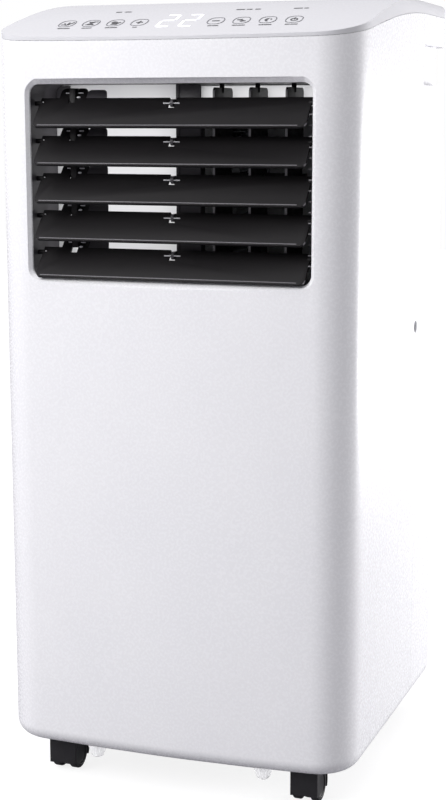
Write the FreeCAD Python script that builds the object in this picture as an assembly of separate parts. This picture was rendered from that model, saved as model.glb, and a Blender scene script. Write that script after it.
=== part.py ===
import FreeCAD, Part
import math
import os

# Portable air conditioner. Millimetres, +Z up, front towards -Y.
# The origin is on the floor, under the middle of the body.

# Body
body_width = 320.0
body_depth = 330.0
body_height = 684.0
floor_gap = 35.0
wall = 2.5
front_corner_radius = 38.5
rear_corner_radius = 25.0
front_crown = 5.0
bottom_radius = 14.0
top_radius = 10.0
rear_step = 8.0             # the lower rear face stands back from the filter face
step_height = 390.0
cover_seam_setback = 105.0  # rear face to the seam between the front cover and the rear cover

# Top surface and the seam under the top cover, both rising towards the rear
top_front_height = 645.4
top_rise_length = 210.0
seam_front_height = 642.9
seam_rear_height = 672.5
seam_rise_length = 240.0

# Fits
gap = 0.3                   # between fixed pieces that face each other
shaft_gap = 0.05            # radial, round every turning pin
side_gap = 0.5              # beside every turning or sliding piece
bite = 0.2                  # how far pieces of one moulding run into each other

# Air outlet, louvers and vanes
outlet_width = 245.0
outlet_low = 450.0
outlet_high = 609.0
outlet_corner = 8.0
outlet_bevel = 11.0
rim_width = 8.5
rim_depth = 10.0            # front face to the back of the rim
frame_wall = 3.0
frame_depth = 51.0
frame_flange = 5.0
frame_flange_thickness = 2.5
louver_count = 5
louver_pitch = 30.85
louver_setback = 20.3       # front face to the pivots
louver_top_z = 593.4
louver_tilt = 47.0          # degrees below level at rest
louver_front = 26.5         # pivot to the front edge
louver_back = 5.0           # pivot to the rear edge
louver_thickness = 2.2
louver_half_length = 118.0
louver_pin_radius = 2.0
crank_x = -90.0
crank_reach = 11.4          # pivot to the tie bar pin
crank_width = 24.0
crank_tail = 4.5            # blade left behind the crank pin
clip_clearance = 1.8
clip_depth = 4.6
pin_end = 2.2               # how far a pin runs into its bearing
blade_tip_radius = 5.0
link_pin_radius = 1.5
tie_bar_thickness = 4.0
tie_bar_half_depth = 2.5
divider_thickness = 2.4
divider_setback = 31.0
divider_length = 62.0
arm_radius = 3.2
rib_height = 1.0
rib_stand = 2.5
vane_spacing = 31.0
vane_count = 3
vane_thickness = 2.0
vane_setback = 53.0         # front face to the vane pivots
vane_front = 20.0           # pivot to the front edge
vane_back = 24.0
vane_end_gap = 3.0
vane_corner = 4.0
vane_pin_radius = 2.0
vane_link_reach = 20.0      # pivot to the link pin
vane_notch_half = 5.5
vane_link_z = 535.0
duct_wall = 2.5
duct_length = 58.0

# Upper fan
upper_fan_x = -45.0
upper_fan_z = 525.0
upper_scroll_radius = 76.0
upper_inlet_space = 32.0    # evaporator to the scroll's eye
upper_wheel_radius = 64.0
upper_wheel_front = 16.0    # scroll front to the wheel's disc
scroll_leg_half = 105.0
lower_leg_half = 70.0
scroll_eye_lip = 10.0
shaft_hole_radius = 12.0
wheel_rear_space = 8.0
wheel_blade_count = 30
wheel_blade_depth = 11.0
wheel_blade_thickness = 1.2
wheel_blade_pitch = 30.0    # degrees
wheel_disc_thickness = 2.5
wheel_rim_width = 8.0
wheel_rim_thickness = 3.0
wheel_hub_radius = 10.0
motor_radius = 37.0
motor_length = 45.0
motor_shaft_radius = 4.0
motor_end = 3.0             # the can's closed end

# Deck, coils and trays
deck_height = 380.0
deck_thickness = 4.0
coil_half_width = 118.0
coil_pitch = 6.0
coil_slot = 4.0
coil_slot_share = 0.34      # depth of a slot, of the coil's depth
coil_border = 6.0
coil_end_thickness = 1.6
coil_end_gap = 0.6
coil_skin = 2.0
bend_pitch = 26.0
bend_low = 20.0
bend_radius = 8.0
evaporator_setback = 35.0   # rear face to the coil's rear
evaporator_depth = 38.0
evaporator_low = 412.0
evaporator_high = 600.0
condenser_setback = 19.0
condenser_depth = 36.0
condenser_low = 62.0
condenser_high = 232.0
tray_wall = 2.5
tray_margin = 9.0
tray_space = 8.0            # coil to the outside of the tray
tray_rise = 6.0

# Lower fan and exhaust
lower_fan_x = 20.0
lower_fan_z = 165.0
lower_scroll_radius = 84.0
lower_inlet_space = 10.0    # condenser to the scroll's eye
lower_scroll_depth = 80.0
lower_wheel_front = 12.0
lower_wheel_radius = 70.0
lower_exit_top = 302.0
exhaust_x = 0.0
exhaust_z = 310.0
exhaust_bore_radius = 65.0
exhaust_collar_radius = 70.0
exhaust_flange_radius = 77.0
exhaust_inside = 7.5        # collar length inside the rear cover
exhaust_short = 1.0         # the collar stops short of the rear face
duct_margin = 4.0

# Compressor
compressor_x = -90.0
compressor_setback = 75.0
compressor_radius = 48.0
compressor_low = 60.0
compressor_high = 232.0
compressor_dome = 20.0
mount_plate_margin = 8.0
mount_plate_thickness = 3.0
foot_radius = 9.0
foot_neck_radius = 4.0
foot_neck_length = 8.0
accumulator_x = -12.0
accumulator_setback = 47.0
accumulator_radius = 19.0
accumulator_lift = 30.0
accumulator_height = 110.0
accumulator_dome = 8.0
strap_low = 45.0
strap_height = 12.0
strap_arm_radius = 5.0
pipe_radius = 3.5

# Rear grilles
filter_half_width = 122.0
filter_low = 398.0
filter_high = 598.0
lower_grille_half_width = 118.0
lower_grille_low = 78.0
lower_grille_high = 226.0
slat_pitch = 10.0
slat_height = 4.0
grille_thickness = 3.0
grille_border = 10.0
filter_border = 12.0
slat_post_half = 3.0
filter_frame_inset = 6.0
filter_frame_wall = 3.0
filter_frame_depth = 6.0
mesh_thickness = 3.0
mesh_columns = 6
mesh_rows = 5
mesh_rib = 3.0
mesh_skin = 0.8
flange_width = 5.0
flange_thickness = 2.5

# Handle recesses
handle_setback = 2.0        # cover seam to the recess
handle_low = 610.5
handle_high = 646.0
handle_depth = 12.0
finger_rise = 12.0
finger_depth = 7.0

# Castors
castor_x = 114.0
castor_front_setback = 37.0
castor_rear_setback = 47.0
castor_trail = 8.0
wheel_radius = 14.0
wheel_width = 7.0
wheel_inner_face = 4.6
axle_radius = 2.0
hood_radius = 16.0
hood_half_width = 12.2
hood_shell = 1.4
stem_radius = 4.0
stem_length = 14.0
socket_wall = 4.0
hood_skirt = 6.0            # the hood reaches this far below the axle
hood_edge_radius = 3.0
web_radius = 9.0
stem_seat = 6.0
wheel_edge_radius = 1.2
wheel_rim = 4.0
wheel_dish = 1.0

# Base pan and what hangs under it
pan_lip = 4.0
pan_thickness = 3.2
pan_rim_height = 22.0
bumper_x = 78.0
bumper_setback = 27.0
side_bumper_x = 139.0
side_bumper_setback = 157.0 # from the rear face
bumper_radius = 8.0
bumper_height = 14.0
bumper_screw_radius = 2.0
bumper_taper = 1.5
bumper_well_radius = 4.4
bumper_head_radius = 3.8
bumper_head_height = 2.2
bumper_base = 5.0           # cup under its screw head

# Drains
drain_bore_radius = 5.0
drain_tube_radius = 8.0
drain_barb_radius = 7.5
drain_flange_radius = 10.0
drain_reach = 6.0
upper_drain_x = -100.0
upper_drain_z = 366.0
lower_drain_x = 100.0
lower_drain_z = 61.5

# Mains inlet
gland_x = -118.0
gland_z = 262.0
gland_radius = 8.0
gland_bore_radius = 4.0

# Controls, under the top cover
board_thickness = 1.6
board_half_length = 115.0
board_half_depth = 17.0
board_tilt = 16.0
board_setback = 53.0
board_z = 640.5
boss_radius = 3.0
boss_inset = 8.0
boss_half_pitch = 12.0

# Pipes
suction_x = -136.0
suction_inset = 14.0        # behind the evaporator's front
liquid_x = 143.0
liquid_inset = 12.0         # behind the condenser's front
liquid_bend = 10.0
drier_radius = 8.0
drier_low = 150.0
drier_high = 205.0
discharge_x = -147.0
pipe_bend = 14.0

# Swing motor
swing_motor_radius = 14.0
swing_motor_length = 16.0
swing_motor_offset = 8.0    # the shaft stands ahead of the motor's middle

# Cover screws
screw_radius = 2.0
screw_head_radius = 4.0
screw_head_height = 2.4
rear_screw_x = 128.0
side_screw_setback = 10.0   # ahead of the cover seam
side_screw_z = 395.0
side_access_radius = 5.5
screw_slot_radius = 1.6
screw_slot_depth = 1.2
lug_reach = 16.0
boss_block = 14.0           # width of the rear screw blocks
rear_screw_rise = 14.0
rear_screw_drop = 6.0

# Electrics on the deck
electrics_half = 60.0
electrics_front_setback = 15.0
electrics_depth = 54.0
electrics_height = 44.0
electrics_groove_low = 34.0
capacitor_x = 95.0
capacitor_radius = 17.0
capacitor_setback = 35.0
capacitor_length = 60.0
capacitor_lift = 18.0
clip_half_width = 15.0
clip_setback = 18.0
clip_length = 22.0
clip_height = 14.0

# Worked out from the values above
half_width = body_width / 2
front_y = -body_depth / 2
rear_y = body_depth / 2
low_rear_y = rear_y - rear_step
half_outlet = outlet_width / 2
cover_seam_y = rear_y - cover_seam_setback
rim_rear_y = front_y + rim_depth
frame_rear_y = rim_rear_y + frame_depth
louver_pivot_y = front_y + louver_setback
divider_front_y = front_y + divider_setback
divider_rear_y = divider_front_y + divider_length
vane_pivot_y = front_y + vane_setback
vane_link_y = vane_pivot_y + vane_link_reach
duct_rear_y = frame_rear_y + duct_length
evaporator_rear_y = rear_y - evaporator_setback
evaporator_front_y = evaporator_rear_y - evaporator_depth
condenser_rear_y = rear_y - condenser_setback
condenser_front_y = condenser_rear_y - condenser_depth
upper_scroll_rear_y = evaporator_front_y - upper_inlet_space
lower_scroll_rear_y = condenser_front_y - lower_inlet_space
lower_scroll_front_y = lower_scroll_rear_y - lower_scroll_depth
compressor_y = front_y + compressor_setback
accumulator_y = front_y + accumulator_setback
handle_front_y = cover_seam_y + handle_setback
castor_front_y = front_y + castor_front_setback
castor_rear_y = rear_y - castor_rear_setback
bumper_y = front_y + bumper_setback
side_bumper_y = rear_y - side_bumper_setback
board_y = front_y + board_setback
suction_y = evaporator_front_y + suction_inset
liquid_y = condenser_front_y + liquid_inset
side_screw_y = cover_seam_y - side_screw_setback
deck_top = deck_height + deck_thickness
pan_floor = floor_gap + wall + gap
pan_top = pan_floor + pan_thickness
axis_x = FreeCAD.Vector(1, 0, 0)
axis_y = FreeCAD.Vector(0, 1, 0)
axis_z = FreeCAD.Vector(0, 0, 1)


# Building blocks

def point(x, y, z):
    return FreeCAD.Vector(x, y, z)


def box(x0, x1, y0, y1, z0, z1):
    return Part.makeBox(x1 - x0, y1 - y0, z1 - z0, point(x0, y0, z0))


def rod(radius, start, end):
    along = end.sub(start)
    return Part.makeCylinder(radius, along.Length, start, along)


def tube(outer, inner, start, end):
    along = end.sub(start).normalize()
    return rod(outer, start, end).cut(rod(inner, start.sub(along), end.add(along)))


def join(shapes):
    whole = shapes[0].multiFuse(shapes[1:]) if len(shapes) > 1 else shapes[0]
    return whole.removeSplitter()


def cut_all(shape, tools):
    return shape.cut(Part.makeCompound(tools))


def plate_yz(corners, x0, x1):
    # A flat outline in the side view, carried across the width.
    ring = [point(x0, y, z) for y, z in corners]
    face = Part.Face(Part.makePolygon(ring + ring[:1]))
    return face.extrude(point(x1 - x0, 0, 0))


def round_rect_wire(half_x, z0, z1, radius, y):
    xs = half_x - radius
    low = z0 + radius
    high = z1 - radius
    bend = radius * math.sqrt(0.5)
    edges = [Part.makeLine(point(-xs, y, z0), point(xs, y, z0))]
    edges.append(Part.Arc(point(xs, y, z0), point(xs + bend, y, low - bend),
                          point(half_x, y, low)).toShape())
    edges.append(Part.makeLine(point(half_x, y, low), point(half_x, y, high)))
    edges.append(Part.Arc(point(half_x, y, high), point(xs + bend, y, high + bend),
                          point(xs, y, z1)).toShape())
    edges.append(Part.makeLine(point(xs, y, z1), point(-xs, y, z1)))
    edges.append(Part.Arc(point(-xs, y, z1), point(-xs - bend, y, high + bend),
                          point(-half_x, y, high)).toShape())
    edges.append(Part.makeLine(point(-half_x, y, high), point(-half_x, y, low)))
    edges.append(Part.Arc(point(-half_x, y, low), point(-xs - bend, y, low - bend),
                          point(-xs, y, z0)).toShape())
    return Part.Wire(edges)


def round_rect(half_x, z0, z1, radius, y0, y1):
    face = Part.Face(round_rect_wire(half_x, z0, z1, radius, y0))
    return face.extrude(point(0, y1 - y0, 0))


def bent_tube(corners, radius, bend):
    # Straight runs joined by tangent arcs.
    points = [point(*corner) for corner in corners]
    edges = []
    start = points[0]
    for here, after in zip(points[1:-1], points[2:]):
        back = start.sub(here).normalize()
        ahead = after.sub(here).normalize()
        half_angle = back.getAngle(ahead) / 2
        trim = bend / math.tan(half_angle)
        enter = here.add(back * trim)
        leave = here.add(ahead * trim)
        middle = here.add((back + ahead).normalize() * (bend / math.sin(half_angle) - bend))
        edges.append(Part.makeLine(start, enter))
        edges.append(Part.Arc(enter, middle, leave).toShape())
        start = leave
    edges.append(Part.makeLine(start, points[-1]))
    path = Part.Wire(edges)
    ring = Part.Wire(Part.makeCircle(radius, points[0], points[1].sub(points[0])))
    return path.makePipeShell([ring], True, False)


def save(name, *solids):
    shape = solids[0] if len(solids) == 1 else Part.makeCompound(list(solids))
    shape.exportStep("parts/" + name + ".step")
    print(name, len(shape.Solids), "solid", round(shape.Volume / 1000, 1), "cm3", shape.isValid())


# Body envelope

def outline(inset, back_y, z0, z1):
    # Plan of the body: crowned front, large front corners, smaller rear corners.
    span = half_width - front_corner_radius
    crown_radius = (span ** 2 + front_crown ** 2) / (2 * front_crown)
    crown_y = front_y + crown_radius
    corner_y = crown_y - math.sqrt((crown_radius - front_corner_radius) ** 2 - span ** 2)
    reach = crown_radius - inset
    toward = math.atan2(corner_y - crown_y, span)
    small = front_corner_radius - inset
    side = half_width - inset
    touch = point(reach * math.cos(toward), crown_y + reach * math.sin(toward), z0)
    corner_middle = point(span + small * math.cos(toward / 2), corner_y + small * math.sin(toward / 2), z0)
    rear_x = half_width - rear_corner_radius
    rear_centre_y = back_y - rear_corner_radius
    rear_small = rear_corner_radius - inset
    bend = rear_small * math.sqrt(0.5)

    def other_side(p):
        return point(-p.x, p.y, p.z)

    side_front = point(side, corner_y, z0)
    side_rear = point(side, rear_centre_y, z0)
    rear_middle = point(rear_x + bend, rear_centre_y + bend, z0)
    rear_end = point(rear_x, back_y - inset, z0)
    edges = [Part.Arc(other_side(touch), point(0, crown_y - reach, z0), touch).toShape()]
    edges.append(Part.Arc(touch, corner_middle, side_front).toShape())
    edges.append(Part.makeLine(side_front, side_rear))
    edges.append(Part.Arc(side_rear, rear_middle, rear_end).toShape())
    edges.append(Part.makeLine(rear_end, other_side(rear_end)))
    edges.append(Part.Arc(other_side(rear_end), other_side(rear_middle), other_side(side_rear)).toShape())
    edges.append(Part.makeLine(other_side(side_rear), other_side(side_front)))
    edges.append(Part.Arc(other_side(side_front), other_side(corner_middle), other_side(touch)).toShape())
    return Part.Face(Part.Wire(edges)).extrude(point(0, 0, z1 - z0))


def rising_curve(low, high, length, drop):
    # Steep at the front, level where it ends.
    steps = 7
    points = []
    for i in range(steps + 1):
        share = i / steps
        z = low + (high - low) * math.sin(share * math.pi / 2) - drop
        points.append(point(-half_width - 2, front_y + length * share, z))
    slope = point(0, length, (high - low) * math.pi / 2)
    curve = Part.BSplineCurve()
    curve.interpolate(Points=points, InitialTangent=slope, FinalTangent=point(0, length, 0))
    start = points[0].sub(slope * 0.05)
    return [Part.makeLine(start, points[0]), curve.toShape()], start, points[-1]


def under_top(inset):
    # Everything below the top surface, with its round rear edge.
    edges, start, level = rising_curve(top_front_height, body_height, top_rise_length, inset)
    radius = top_radius - inset
    top = body_height - inset
    back = rear_y - inset
    x = level.x
    turn = point(x, back - radius, top)
    bend = radius * math.sqrt(0.5)
    edges.append(Part.makeLine(level, turn))
    edges.append(Part.Arc(turn, point(x, back - radius + bend, top - radius + bend),
                          point(x, back, top - radius)).toShape())
    edges.append(Part.makeLine(point(x, back, top - radius), point(x, back, 0)))
    edges.append(Part.makeLine(point(x, back, 0), point(x, start.y, 0)))
    edges.append(Part.makeLine(point(x, start.y, 0), start))
    return Part.Face(Part.Wire(edges)).extrude(point(body_width + 4, 0, 0))


def handle_space(side, inset):
    # Grip slot open to the rear, with a finger pocket behind its upper lip.
    depth = handle_depth + inset
    inner = half_width - depth
    slot = box(inner, half_width + 5, handle_front_y - inset, rear_y + 5, handle_low - inset,
               handle_high + inset)
    pocket_rear = rear_y - rear_corner_radius - 10
    pocket_top = handle_high + finger_rise + inset
    pocket = box(inner, inner + finger_depth + 2 * inset, handle_front_y - inset, pocket_rear + inset,
                 handle_low, pocket_top)
    space = slot.fuse(pocket)
    return space if side > 0 else space.mirror(point(0, 0, 0), axis_x)


def body(inset):
    floor = floor_gap + inset
    step = step_height + inset
    low = outline(inset, low_rear_y, floor, step)
    edges = [e for e in low.Edges if e.BoundBox.ZMax < floor + 0.01]
    low = low.makeFillet(bottom_radius - inset, edges)
    high = outline(inset, rear_y, step, body_height + 10)
    level = box(-half_width + inset, half_width - inset, front_y - 5, rear_y + 5, 0,
                body_height + 1 - inset)
    edges = [e for e in level.Edges if e.BoundBox.ZMin > body_height - inset and e.BoundBox.YLength > 1]
    level = level.makeFillet(top_radius - inset, edges)
    shape = low.fuse(high).common(under_top(inset)).common(level)
    for side in (-1, 1):
        shape = shape.cut(handle_space(side, inset))
    return shape


def above_seam(lift):
    edges, start, level = rising_curve(seam_front_height + lift, seam_rear_height + lift,
                                       seam_rise_length, 0)
    x = level.x
    far = rear_y + 10
    high = body_height + 20
    edges.append(Part.makeLine(level, point(x, far, level.z)))
    edges.append(Part.makeLine(point(x, far, level.z), point(x, far, high)))
    edges.append(Part.makeLine(point(x, far, high), point(x, start.y, high)))
    edges.append(Part.makeLine(point(x, start.y, high), start))
    return Part.Face(Part.Wire(edges)).extrude(point(body_width + 4, 0, 0))


# Covers

def outlet_cut():
    outer = half_outlet + outlet_bevel * 1.05
    rise = outlet_bevel * 0.65
    flare_front = front_y - 2
    flare_rear = rim_rear_y - 2
    front = round_rect_wire(outer, outlet_low - rise, outlet_high + rise, outlet_corner + rise, flare_front)
    back = round_rect_wire(half_outlet, outlet_low, outlet_high, outlet_corner, flare_rear)
    flare = Part.makeLoft([front, back], True, True)
    straight = round_rect(half_outlet, outlet_low, outlet_high, outlet_corner, flare_rear, rim_rear_y + 5)
    return flare.fuse(straight)


def front_cover(shell, outer):
    rim = round_rect(half_outlet + rim_width, outlet_low - rim_width, outlet_high + rim_width,
                     outlet_corner + rim_width, front_y - 5, rim_rear_y)
    cover = shell.common(box(-body_width, body_width, -body_depth, cover_seam_y, 0, 2 * body_height))
    cover = cover.fuse(rim.common(outer)).cut(outlet_cut())
    access = []
    for side in (-1, 1):
        start = point(side * (half_width - wall - 1), side_screw_y, side_screw_z)
        access.append(rod(side_access_radius, start, start.add(point(side * (wall + 3), 0, 0))))
    return cut_all(cover, access)


def rear_cover(shell):
    cover = shell.common(box(-body_width, body_width, cover_seam_y + gap, body_depth, 0, 2 * body_height))
    filter_hole = box(-filter_half_width, filter_half_width, rear_y - wall - 1, rear_y + 1, filter_low,
                      filter_high)
    grille_hole = box(-lower_grille_half_width, lower_grille_half_width, low_rear_y - wall - 1,
                      low_rear_y + 1,
                      lower_grille_low, lower_grille_high)
    holes = [filter_hole, grille_hole]
    port = point(exhaust_x, low_rear_y - wall - 1, exhaust_z)
    holes.append(rod(exhaust_collar_radius + gap, port, port.add(point(0, wall + 2, 0))))
    for x, z in ((upper_drain_x, upper_drain_z), (lower_drain_x, lower_drain_z)):
        start = point(x, low_rear_y - wall - 1, z)
        holes.append(rod(drain_tube_radius + gap, start, start.add(point(0, wall + 2, 0))))
    for x, z in rear_screw_places():
        start = point(x, low_rear_y - wall - 1, z)
        holes.append(rod(screw_radius + side_gap, start, start.add(point(0, wall + 2, 0))))
    holes.append(rod(gland_radius + gap, gland_point(-wall - 1), gland_point(1)))
    return cut_all(cover, holes)


def top_cover(shell):
    cover = shell.common(above_seam(gap / 2))
    bosses = []
    board = board_frame()
    for x in (-board_half_length + boss_inset, board_half_length - boss_inset):
        for y in (-boss_half_pitch, boss_half_pitch):
            low = board.multVec(point(x, y, board_thickness + gap))
            high = board.multVec(point(x, y, 30))
            bosses.append(rod(boss_radius, low, high))
    stubs = Part.makeCompound(bosses).common(body(wall / 2)).Solids
    return join([cover] + stubs)


def gland_point(depth):
    return point(gland_x, low_rear_y + depth, gland_z)


def rear_screw_places():
    return [(side * rear_screw_x, z) for side in (-1, 1) for z in (pan_top + rear_screw_rise,
                                                                   deck_top - rear_screw_drop)]


# Controls

def board_frame():
    turn = FreeCAD.Rotation(axis_x, board_tilt)
    return FreeCAD.Placement(point(0, board_y, board_z), turn)


def control_board():
    half = board_half_length
    board = box(-half, half, -board_half_depth, board_half_depth, 0, board_thickness)
    pieces = [board]
    for x in (-60, -20, 70):
        pieces.append(box(x - 7, x + 7, -8, 6, -2, 0))
    board = join(pieces)
    board.Placement = board_frame()
    return board


def display_module():
    module = box(-22, 32, -9, 9, board_thickness + gap, board_thickness + 5)
    windows = []
    for x in (-8, 18):
        windows.append(box(x - 9, x + 9, -7, 7, board_thickness + 4, board_thickness + 6))
    module = cut_all(module, windows)
    module.Placement = board_frame()
    return module


# Air outlet

def louver_z(index):
    return louver_top_z - louver_pitch * index


def along_blade(distance, offset):
    # Point in the side view, along the tilted blade from its pivot.
    tilt = math.radians(louver_tilt)
    y = -distance * math.cos(tilt) - offset * math.sin(tilt)
    z = -distance * math.sin(tilt) + offset * math.cos(tilt)
    return y, z


def blade_plate(x0, x1, start, end):
    half = louver_thickness / 2
    corners = [along_blade(start, -half), along_blade(end, -half), along_blade(end, half),
               along_blade(start, half)]
    return plate_yz([(louver_pivot_y + y, z) for y, z in corners], x0, x1)


def crank_pin_place():
    y, z = along_blade(-crank_reach, 0)
    return louver_pivot_y + y, z


def louver(index):
    half = louver_half_length
    blade = blade_plate(-half, half, -louver_back, louver_front)
    front_edges = []
    tip_y, tip_z = along_blade(louver_front, 0)
    for edge in blade.Edges:
        middle = edge.BoundBox.Center
        near_tip = math.hypot(middle.y - louver_pivot_y - tip_y, middle.z - tip_z) < 0.5
        if near_tip and edge.BoundBox.XLength < 0.1:
            front_edges.append(edge)
    blade = blade.makeFillet(blade_tip_radius, front_edges)
    crank = blade_plate(crank_x - crank_width / 2, crank_x + crank_width / 2,
                        -crank_reach - crank_tail, 0)
    slot_half = tie_bar_thickness / 2 + 1
    slot = blade_plate(crank_x - slot_half, crank_x + slot_half, -crank_reach - 5, -1)
    clip_half = divider_thickness / 2 + clip_clearance
    notch = blade_plate(-clip_half, clip_half, -louver_back - 1, clip_depth)
    wide_slot = slot.fuse(slot.translated(point(0, 1, 1))).fuse(slot.translated(point(0, -1, -1)))
    wide_notch = notch.fuse(notch.translated(point(0, 1, 1))).fuse(notch.translated(point(0, -1, -1)))
    blade = blade.fuse(crank).cut(wide_slot).cut(wide_notch)
    pin_y, pin_z = crank_pin_place()
    left_end = -half_outlet - pin_end
    if index == 2:
        left_end = -half_outlet - frame_wall - 7
    pins = []
    for start, end in ((left_end, -half + 2), (half - 2, half_outlet + pin_end)):
        pins.append(rod(louver_pin_radius, point(start, louver_pivot_y, 0), point(end, louver_pivot_y, 0)))
    pins.append(rod(link_pin_radius, point(-clip_half - 1, louver_pivot_y, 0),
                    point(clip_half + 1, louver_pivot_y, 0)))
    pins.append(rod(link_pin_radius, point(crank_x - slot_half - 1, pin_y, pin_z),
                    point(crank_x + slot_half + 1, pin_y, pin_z)))
    shape = join([blade] + pins)
    shape.translate(point(0, 0, louver_z(index)))
    return shape


def louver_tie_bar():
    half = tie_bar_thickness / 2
    pin_y, pin_z = crank_pin_place()
    top = louver_z(0) + pin_z
    bottom = louver_z(louver_count - 1) + pin_z
    bar = box(crank_x - half, crank_x + half, pin_y - tie_bar_half_depth, pin_y + tie_bar_half_depth,
              bottom - 4, top + 4)
    holes = []
    for index in range(louver_count):
        z = louver_z(index) + pin_z
        holes.append(rod(link_pin_radius + shaft_gap, point(crank_x - 5, pin_y, z),
                         point(crank_x + 5, pin_y, z)))
    return cut_all(bar, holes)


def louver_frame():
    outer = half_outlet + frame_wall
    tube_low = outlet_low - frame_wall
    tube_high = outlet_high + frame_wall
    start = rim_rear_y + gap
    shell = round_rect(outer, tube_low, tube_high, outlet_corner + frame_wall, start, frame_rear_y)
    flange = round_rect(outer + frame_flange, tube_low - frame_flange, tube_high + frame_flange,
                        outlet_corner + frame_wall + frame_flange, start, start + frame_flange_thickness)
    inner = round_rect(half_outlet, outlet_low, outlet_high, outlet_corner, start - 1, frame_rear_y + 1)
    shell = shell.fuse(flange).cut(inner)
    half = divider_thickness / 2
    extras = [box(-half, half, divider_front_y, frame_rear_y, outlet_low - 0.5, outlet_high + 0.5)]
    extras.append(box(-half, half, frame_rear_y - 1, divider_rear_y, outlet_low + gap, outlet_high - gap))
    rib_pitch = louver_pitch * 0.29
    for index in range(int((outlet_high - outlet_low) / rib_pitch)):
        z = outlet_low + rib_pitch * (index + 0.75)
        extras.append(box(half_outlet - rib_stand, half_outlet + 0.5, louver_pivot_y + 12, frame_rear_y,
                          z - rib_height / 2, z + rib_height / 2))
    holes = []
    for index in range(louver_count):
        z = louver_z(index)
        arm = box(-half, half, louver_pivot_y, divider_front_y + 1, z - arm_radius, z + arm_radius)
        eye = rod(arm_radius, point(-half, louver_pivot_y, z), point(half, louver_pivot_y, z))
        extras.append(arm.fuse(eye))
        holes.append(rod(link_pin_radius + shaft_gap, point(-5, louver_pivot_y, z),
                         point(5, louver_pivot_y, z)))
        for side in (-1, 1):
            inside = point(side * (half_outlet - 4), louver_pivot_y, z)
            outside = point(side * (outer + 1), louver_pivot_y, z)
            holes.append(rod(louver_pin_radius + shaft_gap, inside, outside))
    for index in range(vane_count):
        x = vane_x(index)
        for z in (outlet_low, outlet_high):
            holes.append(rod(vane_pin_radius + shaft_gap, point(x, vane_pivot_y, z - 4),
                             point(x, vane_pivot_y, z + 4)))
    return cut_all(shell.multiFuse(extras), holes).removeSplitter()


def swing_motor():
    inner = -half_outlet - frame_wall
    z = louver_z(2)
    y = louver_pivot_y + swing_motor_offset
    motor = rod(swing_motor_radius, point(inner - swing_motor_length, y, z), point(inner, y, z))
    ear = swing_motor_radius + 7
    ears = box(inner - 3, inner, y - 3.5, y + 3.5, z - ear, z + ear)
    bore = rod(louver_pin_radius + shaft_gap, point(inner - 9, louver_pivot_y, z),
               point(inner + 1, louver_pivot_y, z))
    return join([motor, ears]).cut(bore)


def vane_x(index):
    return vane_spacing * (index + 1)


def vane(index):
    x = vane_x(index)
    half = vane_thickness / 2
    low = outlet_low + vane_end_gap
    high = outlet_high - vane_end_gap
    vane_rear_y = vane_pivot_y + vane_back
    plate = box(x - half, x + half, vane_pivot_y - vane_front, vane_rear_y, low, high)
    ends = [e for e in plate.Edges if e.BoundBox.XLength > 0.5]
    plate = plate.makeFillet(vane_corner, ends)
    notch = box(x - 5, x + 5, vane_link_y - 4, vane_rear_y + 1,
                vane_link_z - vane_notch_half, vane_link_z + vane_notch_half)
    plate = plate.cut(notch)
    pins = []
    for start, end in ((outlet_low - 2, low + 4), (high - 4, outlet_high + 2)):
        pins.append(rod(vane_pin_radius, point(x, vane_pivot_y, start), point(x, vane_pivot_y, end)))
    pins.append(rod(link_pin_radius, point(x, vane_link_y, vane_link_z - vane_notch_half - 1),
                    point(x, vane_link_y, vane_link_z + vane_notch_half + 1)))
    return join([plate] + pins)


def vane_link():
    start = vane_x(0) - 5
    end = vane_x(vane_count - 1) + 5
    bar = box(start, end, vane_link_y - 2.7, vane_link_y + 2.7, vane_link_z - 1.5, vane_link_z + 1.5)
    holes = []
    for index in range(vane_count):
        x = vane_x(index)
        low = point(x, vane_link_y, vane_link_z - 3)
        holes.append(rod(link_pin_radius + shaft_gap, low, low.add(point(0, 0, 6))))
    return cut_all(bar, holes)


def outlet_duct():
    front = frame_rear_y + gap
    low = outlet_low - duct_wall
    high = outlet_high + duct_wall
    tunnel_x = -divider_thickness / 2 - gap
    tunnel = box(tunnel_x - duct_wall, half_outlet + duct_wall, front, duct_rear_y, low, high)
    space = box(tunnel_x, half_outlet, front - 1, duct_rear_y + 1, outlet_low, outlet_high)
    blank = box(-half_outlet - duct_wall, tunnel_x - duct_wall, front, front + duct_wall, low, high)
    return join([tunnel.cut(space), blank])


# Fans

def blower_wheel(x, z, radius, plate_y, scroll_rear, motor_rear):
    rim_y = scroll_rear - wheel_rear_space
    shaft_y = motor_rear - motor_length + motor_end
    hub = rod(wheel_hub_radius, point(x, plate_y - 6, z), point(x, plate_y + 8, z))
    shaft = rod(motor_shaft_radius, point(x, shaft_y, z), point(x, plate_y, z))
    disc = rod(radius, point(x, plate_y, z), point(x, plate_y + wheel_disc_thickness, z))
    rim = tube(radius, radius - wheel_rim_width, point(x, rim_y - wheel_rim_thickness, z),
               point(x, rim_y, z))
    blades = []
    half = wheel_blade_thickness / 2
    for index in range(wheel_blade_count):
        blade = box(x + radius - 1 - wheel_blade_depth, x + radius - 1, plate_y + 1, rim_y - 1, z - half,
                    z + half)
        blade.rotate(point(x + radius - wheel_blade_depth / 2 - 0.5, 0, z), axis_y, wheel_blade_pitch)
        blade.rotate(point(x, 0, z), axis_y, index * 360.0 / wheel_blade_count)
        blades.append(blade)
    return join([hub, shaft, disc, rim] + blades)


def fan_motor(x, z, front, length):
    can = rod(motor_radius, point(x, front, z), point(x, front + length, z))
    edges = [e for e in can.Edges if e.BoundBox.YLength < 0.01]
    can = can.makeFillet(3.0, edges)
    bore = rod(motor_shaft_radius + shaft_gap, point(x, front + motor_end, z),
               point(x, front + length + 1, z))
    return can.cut(bore)


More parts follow.
